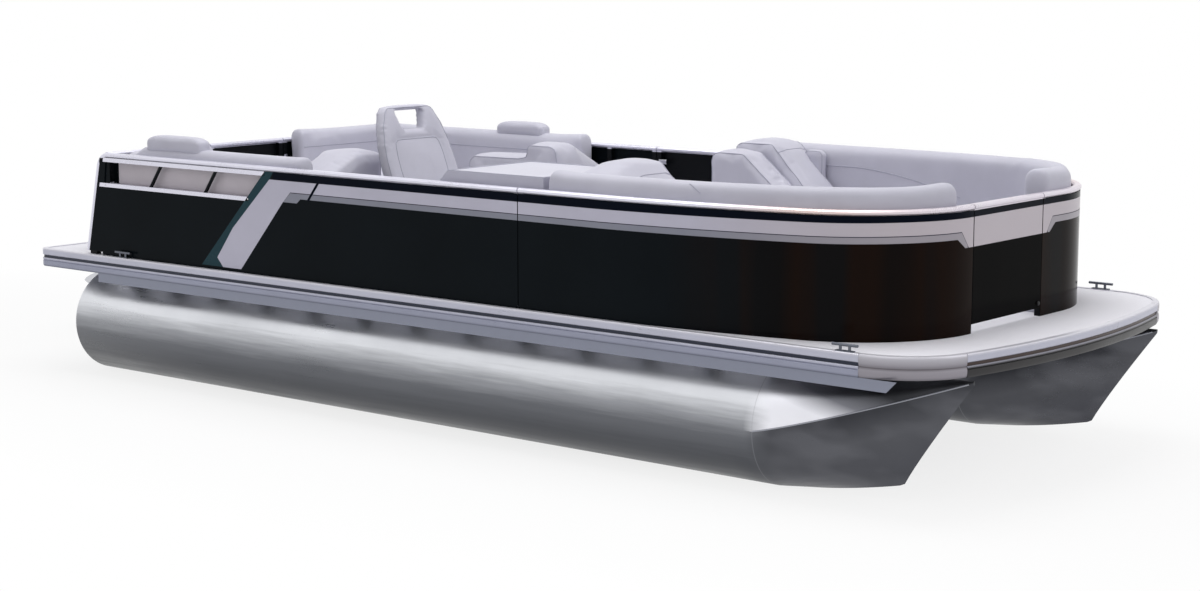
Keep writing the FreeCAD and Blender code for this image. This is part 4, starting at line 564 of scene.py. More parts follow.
def cordage(name, points, radius, material, body=HULL, slot=None, closed=False, sides=2):
    """Round bead or bar along points, as a curve."""
    curve = bpy.data.curves.new(name, "CURVE")
    curve.dimensions = "3D"
    curve.bevel_depth = radius
    curve.bevel_resolution = sides
    curve.use_fill_caps = True
    spline = curve.splines.new("POLY")
    spline.points.add(len(points) - 1)
    for target, point in zip(spline.points, points):
        target.co = (*point, 1)
    spline.use_cyclic_u = closed
    return link(name, curve, material, body, slot)


# Fence line: straight side, wide flank, corner and flat front. REACH is how far the corner comes in.

HALF_WIDTH, FRONT, FLANK, TURN, REACH = 1.25, 6.165, 5.5, math.radians(12), 0.780
CORNER = (REACH - FLANK * (1 - math.cos(TURN))) / math.cos(TURN)
FLANK_X = FRONT - CORNER - (FLANK - CORNER) * math.sin(TURN)
FLANK_Y = FLANK - HALF_WIDTH
CORNER_X, CORNER_Y = FRONT - CORNER, FLANK_Y - (FLANK - CORNER) * math.cos(TURN)
FRONT_START = FLANK_X + FLANK * TURN + CORNER * (math.pi / 2 - TURN)


def around(centre, radius, angle):
    return (centre[0] + radius * math.sin(angle), centre[1] - radius * math.cos(angle))


def fence_point(s, out=0.0):
    """Point on the starboard fence line; s is x on the straight, then length."""
    if s <= FLANK_X:
        return s, -HALF_WIDTH - out
    s -= FLANK_X
    if s < FLANK * TURN:
        return around((FLANK_X, FLANK_Y), FLANK + out, s / FLANK)
    s -= FLANK * TURN
    if s < CORNER * (math.pi / 2 - TURN):
        return around((CORNER_X, CORNER_Y), CORNER + out, TURN + s / CORNER)
    s -= CORNER * (math.pi / 2 - TURN)
    return FRONT + out, CORNER_Y + s


def front_s(y):
    """s of a point on the front face at that y."""
    return FRONT_START + y - CORNER_Y


# Stripes, PAINT proud of the sheets

PAINT = 0.0006
SIDE_FACE = HALF_WIDTH + PAINT


def stripe(name, start, end, low, high, material, side, step=0.02, out=PAINT):
    """Thin painted band on the fence; low and high are numbers or functions of s."""
    place = mirrored(side)
    count = max(1, int((end - start) / step))
    vertices = [place(*fence_point(s, out), z(s) if callable(z) else z)
                for s in steps(start, end, count) for z in (low, high)]
    faces = [(a, a + 2, a + 3, a + 1)[::-side] for a in range(0, 2 * count, 2)]
    piece(name, vertices, faces, material)


def flat(name, outline, material, side, y=SIDE_FACE):
    """Flat shape on a side, y from the middle; outline in (x, z)."""
    vertices = [at(x, side * y, z) for x, z in outline]
    piece(name, vertices, [tuple(range(len(outline)))[::-side]], material)


def rise(low, bow):
    """Height that grows from the side to the bow."""
    return lambda s: low + (bow - low) * clamp((s - 4.5) / 1.6)


def falling(level, start, end):
    """Height that follows level and then drops to the foot of the gate band."""
    return lambda s: level(s) + (GATE_LOW - level(s)) * clamp((s - start) / (end - start))


def under(level):
    """Height a line's width below level."""
    return lambda s: level(s) - 0.0042


BAND_TOP, GATE_LOW, GATE_FOOT = 1.3613, 1.186, 0.8075
dark_low, line_z, grey_low = rise(1.3185, 1.330), rise(1.256, 1.266), rise(1.222, 1.231)
FLATS = (
    ("teal_band", TEAL, SIDE_FACE, [(1.488, 0.783), (1.672, 0.783), (1.624, 0.836), (1.766, 1.019),
                                    (2.0835, 1.3185), (2.115, BAND_TOP), (2.044, BAND_TOP)]),
    ("light_band", SILVER, SIDE_FACE, [(1.6735, 0.783), (1.829, 0.783), (2.192, 1.197), (2.254, 1.256),
                                       (2.262, 1.256), (2.262, 1.3185), (2.0835, 1.3185), (1.766, 1.019),
                                       (1.6255, 0.836)]),
    ("grey_step", GREY, SIDE_FACE, [(2.192, 1.197), (2.305, 1.197), (2.335, 1.222), (2.335, 1.253),
                                    (2.254, 1.253)]),
    ("slash", NAVY, HALF_WIDTH + 0.001, [(2.384, 1.215), (2.404, 1.215), (2.488, 1.3195), (2.466, 1.3195)]),
    ("sill_strip", RAIL, SIDE_FACE, [(0.563, 1.183), (1.903, 1.183), (1.903, 1.207), (0.569, 1.207)]),
    ("head_strip", RAIL, SIDE_FACE, [(0.602, 1.336), (2.035, 1.336), (2.048, BAND_TOP), (0.608, BAND_TOP)]))

for side, label, seam, aft_end, end_y in ((-1, "starboard", 3.955, 3.949, -0.457),
                                          (1, "port", 3.626, 2.944, -0.239)):
    end_s = front_s(end_y)
    inner, outer = falling(line_z, end_s - 0.10, end_s - 0.04), falling(grey_low, end_s - 0.13, end_s - 0.07)
    for name, start, end, low, high, material, step in (
            ("navy_aft", 2.115, aft_end, dark_low, BAND_TOP, NAVY, 0.02),
            ("navy_bow", seam, end_s, dark_low, BAND_TOP, NAVY, 0.02),
            ("silver_aft", 2.262, aft_end, line_z, dark_low, SILVER, 0.02),
            ("line_aft", 2.262, aft_end, under(line_z), line_z, LINE, 0.02),
            ("grey_aft", 2.335, aft_end, grey_low, under(line_z), GREY, 0.02),
            ("silver_bow", seam, end_s, inner, dark_low, SILVER, 0.01),
            ("line_bow", seam, end_s - 0.04, under(inner), inner, LINE, 0.01),
            ("grey_bow", seam, end_s - 0.05, outer, under(inner), GREY, 0.01)):
        stripe(f"{name}_{label}", start, end, low, high, material, side, step)
    for name, material, y, outline in FLATS:
        flat(f"{name}_{label}", outline, material, side, y)
    for index, (start, end) in enumerate(((0.575, aft_end), (seam, end_s))):
        stripe(f"foot_strip_{label}_{index}", start, end, 0.7625, 0.7825, BLACK, side, out=0.0003)

# Bands across the gates, between two points in plan
for gate, body, first, last, bands in (
        ("bow_gate", "bow_gate", (FRONT + PAINT, -0.449), (FRONT + PAINT, 0.231),
         (("navy", 1.330, BAND_TOP, NAVY), ("silver", GATE_LOW, 1.330, SILVER),
          ("black", GATE_FOOT, GATE_LOW, GATE_BLACK))),
        ("port_gate", "side_gate", (3.619, SIDE_FACE), (2.951, SIDE_FACE),
         (("navy", 1.3185, BAND_TOP, NAVY), ("silver", 1.256, 1.3185, SILVER), ("line", 1.253, 1.256, LINE),
          ("grey", 1.222, 1.253, GREY), ("black", GATE_FOOT, 1.222, GATE_BLACK))),
        ("stern_gate", "stern_gate", (0.5744, 0.219), (0.5744, -0.399),
         (("black", GATE_FOOT, BAND_TOP, GATE_BLACK),))):
    for name, low, high, material in bands:
        corners = [at(*first, low), at(*last, low), at(*last, high), at(*first, high)]
        piece(f"{name}_{gate}", corners, [(0, 1, 2, 3)], material, body)


# Cushions

def evenly(points, count, closed=False):
    """Points spaced evenly along a polyline."""
    dense = [Vector(point) for point in points]
    if closed:
        dense.append(dense[0])
    lengths = [0.0]
    for a, b in zip(dense, dense[1:]):
        lengths.append(lengths[-1] + (b - a).length)
    parts = count if closed else count - 1
    made, place = [], 0
    for index in range(count):
        target = min(lengths[-1] * index / parts, lengths[-1] - 1e-9)
        while lengths[place + 1] < target:
            place += 1
        share = (target - lengths[place]) / max(1e-9, lengths[place + 1] - lengths[place])
        made.append(dense[place].lerp(dense[place + 1], share))
    return made


def rounded_profile(u0, u1, z0, z1, top, low, count, lean=0.0):
    """Closed section as (u, z) points, with its radius at the top corners and at the bottom ones."""
    dense = []
    for u, z, radius, start in ((u0 + low, z0 + low, low, 180), (u1 - low, z0 + low, low, 270),
                                (u1 - top - lean, z1 - top, top, 0), (u0 + top, z1 - top, top, 90)):
        dense += arc(u, z, radius, start, start + 90, 12)
    return evenly(dense, count, True)


pads = []


def keep_pad(made, body, replaced, welts, cap, hold=()):
    """Notes a pad for the cloth simulation: hold lists points that stay, cap is how far others may go."""
    pads.append(dict(obj=made, body=body, replaced=replaced, welts=welts, cap=cap, hold=hold))


def pad(name, rings, replaced, drawn=(), cap=0.010):
    """Long padded piece from rings of points, ends closed with shrinking rings. Drawn lines are sewn on its
    surface afterwards."""
    def closing(ring, toward):
        centre = sum(ring, Vector()) / len(ring)
        out = (centre - sum(toward, Vector()) / len(toward)).normalized()
        return [[centre + (point - centre) * scale + out * push for point in ring]
                for scale, push in ((0.93, 0.010), (0.78, 0.020), (0.5, 0.025), (0.2, 0.027))]

    every = closing(rings[0], rings[1])[::-1] + rings + closing(rings[-1], rings[-2])
    keep_pad(skin(name, every, VINYL, None), HULL, replaced, [(line, False) for line in drawn], cap)


def block_pad(name, outline, low, high, place, body, replaced, held, seams, holes=(), between=(),
              voxel=0.018, rounds=6, cap=0.010):
    """Padded piece from an outline and its thickness, remeshed and rounded. Seams are lines of points, sewn
    on its surface afterwards; held picks the points that the pressure doesn't move."""
    loops = [outline, *holes]
    flat_points = [point for loop in loops for point in loop]
    count = len(flat_points)
    shape = bmesh.new()
    levels = (low, *between, high)
    corners = [shape.verts.new(place(a, b, c)) for c in levels for a, b in flat_points]
    far = count * (len(levels) - 1)
    for triangle in tessellate_polygon([[Vector((a, b, 0)) for a, b in loop] for loop in loops]):
        shape.faces.new([corners[index] for index in triangle])
        shape.faces.new([corners[index + far] for index in reversed(triangle)])
    start = 0
    for loop in loops:
        for index in range(len(loop)):
            for layer in range(0, far, count):
                a, b = start + index + layer, start + (index + 1) % len(loop) + layer
                shape.faces.new([corners[a], corners[b], corners[b + count], corners[a + count]])
        start += len(loop)
    bmesh.ops.recalc_face_normals(shape, faces=shape.faces[:])
    rough = bpy.data.meshes.new(name)
    shape.to_mesh(rough)
    shape.free()
    made = link(name, rough, VINYL, None)
    remesh = made.modifiers.new("Remesh", "REMESH")
    remesh.mode = "VOXEL"
    remesh.voxel_size = voxel
    soften = made.modifiers.new("Smooth", "SMOOTH")
    soften.factor = 0.5
    soften.iterations = rounds
    graph = bpy.context.evaluated_depsgraph_get()
    mesh = bpy.data.meshes.new_from_object(made.evaluated_get(graph))
    made.modifiers.clear()
    made.data = mesh
    shade_faces(mesh, True)
    mesh.materials.clear()
    mesh.materials.append(VINYL)
    keep_pad(made, body, replaced, seams, cap, [v.index for v in mesh.vertices if held(v.co)])


def blow_up():
    """Swells every pad as cloth under pressure, its held points fixed, and keeps the result in its mesh."""
    scene = bpy.context.scene
    for entry in pads:
        made = entry["obj"]
        group = made.vertex_groups.new(name="held")
        for index in entry["hold"]:
            group.add([index], 1.0, "REPLACE")
        cloth = made.modifiers.new("Cloth", "CLOTH")
        settings = cloth.settings
        settings.quality = 4
        settings.mass = 0.35
        settings.tension_stiffness = settings.compression_stiffness = 12
        settings.shear_stiffness = 6
        settings.bending_stiffness = 1.5
        settings.use_pressure = True
        settings.uniform_pressure_force = 4.0
        settings.effector_weights.gravity = 0
        settings.vertex_group_mass = "held"
        cloth.collision_settings.use_collision = False
        cloth.point_cache.frame_start = 1
        cloth.point_cache.frame_end = 20
    for number in range(1, 21):
        scene.frame_set(number)
    graph = bpy.context.evaluated_depsgraph_get()
    for entry in pads:
        moved = [vertex.co.copy() for vertex in entry["obj"].evaluated_get(graph).data.vertices]
        entry["places"] = []
        for vertex, place in zip(entry["obj"].data.vertices, moved):
            push = place - vertex.co
            if push.length > entry["cap"]:
                push = push.normalized() * entry["cap"]
            entry["places"].append(vertex.co + push)
    for entry in pads:
        made = entry["obj"]
        made.modifiers.clear()
        for vertex, place in zip(made.data.vertices, entry["places"]):
            vertex.co = place
        made.vertex_groups.clear()
    scene.frame_set(1)


def sew(entry):
    """Piping along the seams of a pad, laid on its final surface."""
    made = entry["obj"]
    tree = BVHTree.FromPolygons([v.co for v in made.data.vertices], [p.vertices for p in made.data.polygons])
    for order, (line, closed) in enumerate(entry["welts"]):
        count = max(4, int(sum((Vector(b) - Vector(a)).length for a, b in zip(line, line[1:])) / 0.02))
        points = [tree.find_nearest(point)[0] for point in evenly(line, count, closed)]
        cordage(f"{made.name}_welt_{order}", points, 0.0026, PIPING, entry["body"], closed=closed)


def finish_pads():
    blow_up()
    for entry in pads:
        made = entry["obj"]
        smooth = made.modifiers.new("Subdivision", "SUBSURF")
        smooth.levels = smooth.render_levels = 1
        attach(made, entry["body"])
        if entry["replaced"]:
            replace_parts(made, *entry["replaced"])
        sew(entry)


def path_rings(points, profile, side, change=lambda u, z, share: (u, z)):
    """Rings along plan points of the starboard outer line; profile u is measured to the left, z up. Change
    alters (u, z) at a share of the way."""
    place = mirrored(side)
    rings = []
    for index, here in enumerate(points):
        before, after = points[max(0, index - 1)], points[min(len(points) - 1, index + 1)]
        along = (after - before).normalized()
        share = index / (len(points) - 1)
        ring = [change(u, z, share) for u, z in profile]
        rings.append([place(here.x - along.y * u, here.y + along.x * u, z) for u, z in ring])
    return rings


SEAT_LOW, SEAT_HIGH, SEAT_START, LOUNGE_LOW = 1.0630, 1.1670, 1.1590, 1.0675
BOW_PROFILE = rounded_profile(0.050, 0.190, LOUNGE_LOW, 1.489, 0.050, 0.015, 56, 0.012)
AFT_PROFILE = rounded_profile(0.057, 0.190, LOUNGE_LOW, 1.450, 0.045, 0.015, 52, 0.012)


def bow_swell(u, z, share):
    """A little lift towards the bow."""
    return u, z + 0.012 * max(0.0, share - 0.4) * max(0.0, (z - 1.30) / 0.19)


def pillow_swell(u, z, share):
    """The same with a pillow at the gate end behind a soft crease."""
    u, z = bow_swell(u, z, share)
    high = max(0.0, (z - 1.30) / 0.19)
    crease = math.exp(-((share - 0.84) / 0.025) ** 2)
    full = clamp((share - 0.86) / 0.08)
    return u + (0.006 * full - 0.006 * crease) * (u - 0.12) / 0.07, z - 0.010 * crease * high


def bow_back(label, side, rear, end_y, swell, extra=()):
    """Bow back with a seam on its inner face, level, then dropping, to the middle of its length."""
    end = front_s(end_y)
    points = [Vector(fence_point(s)) for s in steps(rear, end, int((end - rear) / 0.03))]
    seam = []
    for index, (point,) in enumerate(path_rings(points, [(0.187, 0.0)], side)):
        share = index / (len(points) - 1)
        if share <= 0.5:
            seam.append(Vector((*point.xy, 1.365 - 0.125 * max(0.0, (share - 0.22) / 0.28) ** 1.6)))
    pad(f"back_bow_{label}", path_rings(points, BOW_PROFILE, side, swell), [f"lounge_back_bow_{label}"],
        [seam, *extra])


tuck = [at(4.985, -1.16, 1.478), at(5.02, -1.165, 1.455), at(5.06, -1.17, 1.430)]
bow_back("starboard", -1, 4.130, -0.540, bow_swell, [tuck])
bow_back("port", 1, 3.880, -0.358, pillow_swell)

REAR_LINE, SIDE_LINE, BEND = 0.5775, -1.25, 0.26


def aft_back(label, side, front, end_y, sink):
    """Wraparound back, from its forward end aft and round the corner, whose top sinks behind the corner."""
    x, y = REAR_LINE + BEND, SIDE_LINE + BEND
    line = [(along, SIDE_LINE) for along in steps(front, x, int((front - x) / 0.03))[:-1]]
    line += [(x - BEND * math.sin(a), y - BEND * math.cos(a)) for a in steps(0, math.pi / 2, 12)]
    line += [(REAR_LINE, across) for across in steps(y, end_y, int((end_y - y) / 0.03))[1:]]
    points = [Vector(point) for point in line]

    def change(u, z, share):
        low = sink * clamp((0.90 - points[round(share * (len(points) - 1))].x) / 0.10)
        return u, z - low * max(0.0, (z - 1.20) / 0.25)

    rings = path_rings(points, [(-u, z) for u, z in AFT_PROFILE], side, change)
    widest = max(range(len(AFT_PROFILE)), key=lambda k: AFT_PROFILE[k][0])
    pad(f"back_aft_{label}", rings, [f"lounge_back_aft_{label}"],
        [[Vector((*ring[widest].xy, 1.335)) for ring in rings]])


aft_back("starboard", -1, 2.262, -0.497, 0.050)
aft_back("port", 1, 2.432, -0.277, 0.0)


def seat(name, outline, side, body, replaced, channels):
    """Seat cushion with piping round its edges and sewn channels across it."""
    place = mirrored(side)
    lines = [[place(*end, SEAT_HIGH) for end in channel] for channel in channels]
    seams = [([place(x, y, z) for x, y in outline], True) for z in (SEAT_HIGH, SEAT_LOW)]

    def held(co):
        """Whether a point is at the bottom or on a channel."""
        if co.z < SEAT_LOW + 0.012:
            return True
        for a, b in lines:
            along, gap = (b - a).xy, (co - a).xy
            gap -= along * clamp(gap.dot(along) / along.length_squared)
            if co.z > SEAT_START - 0.01 and gap.length < 0.012:
                return True
        return False

    block_pad(name, outline, SEAT_LOW, SEAT_START, place, body, replaced, held,
              seams + [(line, False) for line in lines], cap=0.014)


def inset_y(x, inset):
    """y of the starboard fence line moved in by inset, on the straight and the flank."""
    if x < FLANK_X:
        return -(HALF_WIDTH - inset)
    return FLANK_Y - math.sqrt((FLANK - inset) ** 2 - (x - FLANK_X) ** 2)


def channels_at(middle, outer):
    return [((x, INNER_Y - 0.02), (x, outer)) for x in (middle - 0.13, middle, middle + 0.13)]


LID_INSET, CORNER_INSET, INNER_Y = 0.217, 0.203, -0.535
LID_FRONT, CORNER_REAR = 5.304, 5.331
for label, side, rear in (("starboard", -1, 4.7665), ("port", 1, 4.5165)):
    outline = [(x, inset_y(x, LID_INSET)) for x in steps(rear, LID_FRONT, 6)] + [(LID_FRONT, INNER_Y),
                                                                                 (rear, INNER_Y)]
    seat(f"cushion_bow_{label}", outline, side, f"lid_bow_{label}", [f"seat_bow_{label}"],
         channels_at((rear + LID_FRONT) / 2, -0.98))
for label, side, end_y in (("starboard", -1, -0.516), ("port", 1, -0.336)):
    start = CORNER_REAR + 0.001
    while fence_point(start, -CORNER_INSET)[0] < CORNER_REAR:
        start += 0.002
    outline = [fence_point(s, -CORNER_INSET) for s in steps(start, front_s(end_y), 16)]
    outline += [(5.452, end_y), (5.452, INNER_Y), (CORNER_REAR, INNER_Y)]
    seat(f"corner_bow_{label}", outline, side, HULL, ["seats_bow_corner"],
         [((5.47, -0.66), (5.90, -0.66)), ((5.47, -0.56), (5.95, -0.56))])
AFT_REAR, AFT_LID = 0.7795, 1.3385
for label, side, front, end_y in (("starboard", -1, 1.892, -0.476), ("port", 1, 1.932, -0.256)):
    outline = [(AFT_LID, -1.034), (front, -1.034), (front, INNER_Y), (AFT_LID, INNER_Y)]
    seat(f"cushion_aft_{label}", outline, side, f"lid_aft_{label}", [f"seat_aft_{label}"],
         channels_at((AFT_LID + front) / 2, -1.0))
    outline = [(AFT_REAR, -1.047), (1.315, -1.047), (1.315, INNER_Y), (1.292, INNER_Y), (1.292, end_y),
               (AFT_REAR, end_y)]
    seat(f"corner_aft_{label}", outline, side, HULL, ["seats_aft_corner"],
         [((0.82, -0.66), (1.28, -0.66)), ((0.82, -0.79), (1.28, -0.79))])


def side_pad(name, outline, y0, y1, side, replaced, seams_at=(), voxel=0.016, rounds=5, cap=0.010,
             fall=None):
    """Padded piece from its side outline (x, z), between y0 and y1 of the starboard side. Fall gives the y
    from which its top sinks outwards and the share of the height that is left at y0."""
    between = ((y0 + fall[0]) / 2, fall[0]) if fall else ()
    mirror = mirrored(side)

    def place(x, z, y):
        if fall and y < fall[0]:
            z = LOUNGE_LOW + (z - LOUNGE_LOW) * (1 - (1 - fall[1]) * (fall[0] - y) / (fall[0] - y0))
        return mirror(x, y, z)

    seams = [([place(x, z, y) for x, z in outline], True) for y in (y0, y1)]
    seams += [([place(x, z, y) for y in (y0, (y0 + y1) / 2, y1)], False) for x, z in seams_at]
    low = min(z for _, z in outline)
    block_pad(name, outline, y0, y1, place, HULL, replaced, lambda co: co.z < low + 0.012, seams,
              between=between, voxel=voxel, rounds=rounds, cap=cap)


def chaise_outline(rear, top, foot, head):
    """Chaise section: rounded head at the aft end, slope down to the seat."""
    return [(rear, LOUNGE_LOW), (foot, LOUNGE_LOW), (foot, 1.160), (foot - 0.03, 1.185)] + arc(
        head - 0.05, top - 0.06, 0.06, 40, 90) + arc(rear + 0.06, top - 0.06, 0.06, 90, 180)


def arm_outline(front, top, rear, tail_top, tail, slant=0.0):
    """Arm section: forward end that may slant, raised top, lower tail aft of it."""
    return [(front, LOUNGE_LOW)] + arc(front - slant - 0.045, top - 0.045, 0.045, 0, 90) + [
        (rear + 0.02, top), (rear, top - 0.02), (rear, tail_top + 0.01), (tail + 0.04, tail_top),
        (tail, tail_top - 0.04), (tail, LOUNGE_LOW)]


side_pad("chaise_starboard", chaise_outline(4.107, 1.515, 4.738, 4.36), -1.045, INNER_Y, -1,
         ["chaise_backs"], [(4.42, 1.45)], fall=(-0.80, 0.86))
side_pad("chaise_port_inner", chaise_outline(3.857, 1.468, 4.47, 4.12), -0.735, INNER_Y, 1, ["chaise_backs"])
side_pad("chaise_port_outer", chaise_outline(3.875, 1.510, 4.488, 4.17), -1.044, -0.750, 1, ["chaise_backs"],
         [(4.20, 1.47)])
side_pad("chaise_port_wing", [(4.20, 1.24), (4.33, 1.24), (4.335, 1.43), (4.31, 1.455), (4.22, 1.455),
                              (4.20, 1.43)], -1.045, -0.990, 1, (), voxel=0.010, rounds=4, cap=0.005)
side_pad("arm_starboard", arm_outline(2.284, 1.450, 1.972, 1.345, 1.916), -1.046, -0.537, -1,
         ["aft_arm_cushions"], fall=(-0.74, 0.62))
side_pad("arm_port", arm_outline(2.754, 1.424, 2.444, 1.335, 1.956, 0.06), -1.046, -0.537, 1,
         ["aft_arm_cushions"], fall=(-0.72, 0.52))

HEAD_LOW = 1.4100


def dome(u, z, share):
    """Headrest height: full in the middle, rounded down towards its ends."""
    full = 1 - abs(2 * share - 1) ** 8
    return u, HEAD_LOW + (z - HEAD_LOW) * (0.86 + 0.14 * full)


for label, side, rear, front, top in (("starboard", -1, 0.950, 1.385, 1.510),
                                      ("port", 1, 1.735, 2.085, 1.504)):
    line = [Vector((x, SIDE_LINE)) for x in steps(rear, front, 18)]
    profile = rounded_profile(0.066, 0.168, HEAD_LOW, top, 0.028, 0.012, 32)
    pad(f"headrest_{label}", path_rings(line, profile, side, dome), ["headrests"], cap=0.004)

# Helm chair: middle, rear of the seat, foot, half width and height of the back
CHAIR_X, CHAIR_Y, CHAIR_REAR = 2.740, -0.450, 2.515
CHAIR_LOW, BACK_HALF, BACK_HEIGHT, BACK_THICK = 1.1915, 0.30, 0.522, 0.085


def round_outline(rear, front, half, radius):
    """Rectangle in the chair's plan with round corners."""
    x0, x1, y0, y1 = CHAIR_REAR + rear, CHAIR_REAR + front, CHAIR_Y - half, CHAIR_Y + half
    made = []
    for x, y, start in ((x1 - radius, y1 - radius, 0), (x0 + radius, y1 - radius, 90),
                        (x0 + radius, y0 + radius, 180), (x1 - radius, y0 + radius, 270)):
        made += arc(x, y, radius, start, start + 90, 6)
    return made


seat_outline = round_outline(0.006, 0.444, 0.244, 0.09)
insert = round_outline(0.07, 0.39, 0.165, 0.05)
block_pad("chair_cushion", seat_outline, 1.086, 1.182, at, "helm_chair", ["chair_seat"],
          lambda co: co.z < 1.098, [([at(x, y, z) for x, y in outline], True)
                                    for outline, z in ((seat_outline, 1.19), (insert, 1.20))], voxel=0.013)


def chair_back_place(across, up, thick):
    return at(CHAIR_REAR + thick - 0.195 * up, CHAIR_Y + BACK_HALF * across, CHAIR_LOW + BACK_HEIGHT * up)


def both_sides(*shares):
    return list(shares) + [(-across, up) for across, up in reversed(shares)]


def panel_half(up):
    """Half width of the insert panel, as a share."""
    return 0.56 + 0.08 * math.sin(math.pi * up / 0.7)


def back_held(co):
    """Whether a point is at the foot or on a seam of the insert panel, on either face of the back."""
    across, up = (co.y - CHAIR_Y) / BACK_HALF, (co.z - CHAIR_LOW) / BACK_HEIGHT
    edge = abs(abs(across) - panel_half(up))
    return up < 0.02 or (up < 0.62 and edge < 0.035) or (abs(up - 0.64) < 0.018 and abs(across) < 0.52)


back = both_sides((0.94, 0.01), (0.96, 0.32), (0.92, 0.56), (0.82, 0.78), (0.68, 0.94), (0.58, 0.985))
grip = both_sides((0.27, 0.725), (0.40, 0.955))
panel = both_sides(*((panel_half(up), up) for up in (0.02, 0.15, 0.3, 0.45, 0.56)),
                   (0.59, 0.60), (0.54, 0.63), (0.46, 0.64))
block_pad("chair_back_cushion", back, 0.007, 0.078, chair_back_place, "helm_chair", ["chair_back"],
          back_held,
          [([chair_back_place(*share, thick) for share in shares], True)
           for shares, thick in ((panel, BACK_THICK), (back, 0.0), (back, BACK_THICK))],
          holes=[grip], voxel=0.010, rounds=7, cap=0.009)

finish_pads()


# Console and helm

DASH_TURN, DASH_AXIS = Matrix.Rotation(math.radians(45), 3, "Y"), (-1, 0, 1)
CONSOLE_Y, CONSOLE_SEAM = -0.8575, 1.4455
block("dash_panel", (3.336, CONSOLE_Y, 1.379), (0.012, 0.600, 0.150), 0.004, DASH, turn=DASH_TURN)
for index, y in enumerate((-0.955, -0.760)):
    lathe(f"gauge_bezel_{index}", [(0.050, 0), (0.050, 0.006), (0.043, 0.010), (0.040, 0.010),
                                   (0.040, 0.004)], (3.333, y, 1.384), DASH_AXIS, STEEL)
    lathe(f"gauge_face_{index}", [(0.040, 0), (0.040, 0.006), (0.0, 0.0065)], (3.333, y, 1.384),
          DASH_AXIS, GLASS)
block("helm_screen", (3.331, CONSOLE_Y, 1.386), (0.010, 0.075, 0.090), 0.003, GLASS, turn=DASH_TURN)
for index, y in enumerate(steps(-1.105, -1.065, 2) + steps(-0.650, -0.610, 2)):
    block(f"dash_switch_{index}", (3.330, y, 1.386), (0.010, 0.014, 0.030), 0.002, RUBBER, turn=DASH_TURN)
lathe("ignition_barrel", [(0.014, 0), (0.014, 0.010), (0.010, 0.013)], (3.262, -0.640, 1.205),
      (-1, 0, 0), STEEL)
block("throttle_box", (3.262, -0.590, 1.110), (0.020, 0.070, 0.140), 0.008, DASH)
cordage("throttle_lever", [at(x, -0.590, z) for x, z in ((3.256, 1.120), (3.225, 1.122), (3.205, 1.150),
                                                         (3.195, 1.210))], 0.009, STEEL)
lathe("throttle_grip", [(0.004, 0), (0.014, 0.004), (0.017, 0.020), (0.015, 0.055), (0.006, 0.060)],
      (3.194, -0.620, 1.216), (0, 1, 0), RUBBER, sides=20)
for name, x, wide, high in (("door", 3.78, 0.420, 0.46), ("shelf_lip", 3.44, 0.10, 0.30)):
    block(f"console_{name}", (x, -0.5185, 1.06), (wide, 0.006, high), 0.0025, CONSOLE)
block("console_door_latch", (3.62, -0.513, 1.10), (0.030, 0.010, 0.060), 0.004, STEEL)
for index in range(2):
    lathe(f"console_speaker_{index}", [(0.075, 0), (0.075, 0.006), (0.066, 0.010), (0.062, 0.004),
                                       (0.0, 0.006)], (4.081, -1.03 + 0.34 * index, 0.98), (1, 0, 0), DASH)
cordage("console_top_trim", [at(x, y, CONSOLE_SEAM) for x, y in ((3.415, -1.190), (4.074, -1.190),
                                                                 (4.074, -0.526), (3.415, -0.526))],
        0.0035, PIPING, slot="console_plastic", closed=True)

WHEEL = Vector((3.175, CONSOLE_Y, 1.245))
AXIS = Vector((-math.cos(math.radians(35)), 0, math.sin(math.radians(35))))
tilt = turn_to(AXIS)
lathe("wheel_cap", [(0.044, 0.008), (0.042, 0.018), (0.030, 0.024), (0.0, 0.026)], WHEEL, AXIS, DASH,
      "helm_wheel", "wheel_rubber")
cordage("wheel_grip", [at(*WHEEL) + tilt @ Vector((x, y, 0)) for x, y in circle(0.165, 72)], 0.0150, RUBBER,
        "helm_wheel", closed=True, sides=6)
stitches = bmesh.new()
for turn in steps(0, 2 * math.pi, 120)[:-1]:
    matrix = (Matrix.Translation(at(*WHEEL)) @ tilt.to_4x4() @ Matrix.Rotation(turn, 4, "Z")
              @ Matrix.Translation((0.1505, 0, 0.0)) @ Matrix.Diagonal((0.0018, 0.0030, 0.0060, 1)))
    bmesh.ops.create_cube(stitches, size=1.0, matrix=matrix)
from_bmesh("wheel_stitches", stitches, PIPING, "helm_wheel", "wheel_rubber", False)

# Chair pedestal
lathe("pedestal_collar", [(0.046, 0), (0.050, 0.010), (0.050, 0.060), (0.042, 0.075), (0.037, 0.078)],
      (CHAIR_X, CHAIR_Y, 0.772), (0, 0, 1), DASH, slot="bright_steel")
for index, (x, y) in enumerate(arc(CHAIR_X, CHAIR_Y, 0.098, 30, 330)):
    lathe(f"pedestal_bolt_{index}", [(0.008, 0), (0.008, 0.004), (0.005, 0.006)], (x, y, 0.770), (0, 0, 1),
          STEEL, sides=6)

# Panels behind the open windows, and a black sheet of painted shadow in the gap aft of each window
for side, label in SIDES:
    for name, material, y, outline in (
            ("backing", BACKING, 1.2075, [(0.70, 1.10), (2.03, 1.10), (2.03, 1.350), (0.70, 1.350)]),
            ("shadow", BLACK, 1.2430, [(0.566, 1.19), (0.657, 1.19), (0.657, 1.350), (0.602, 1.350)])):
        flat(f"window_{name}_{label}", outline, material, side, y)

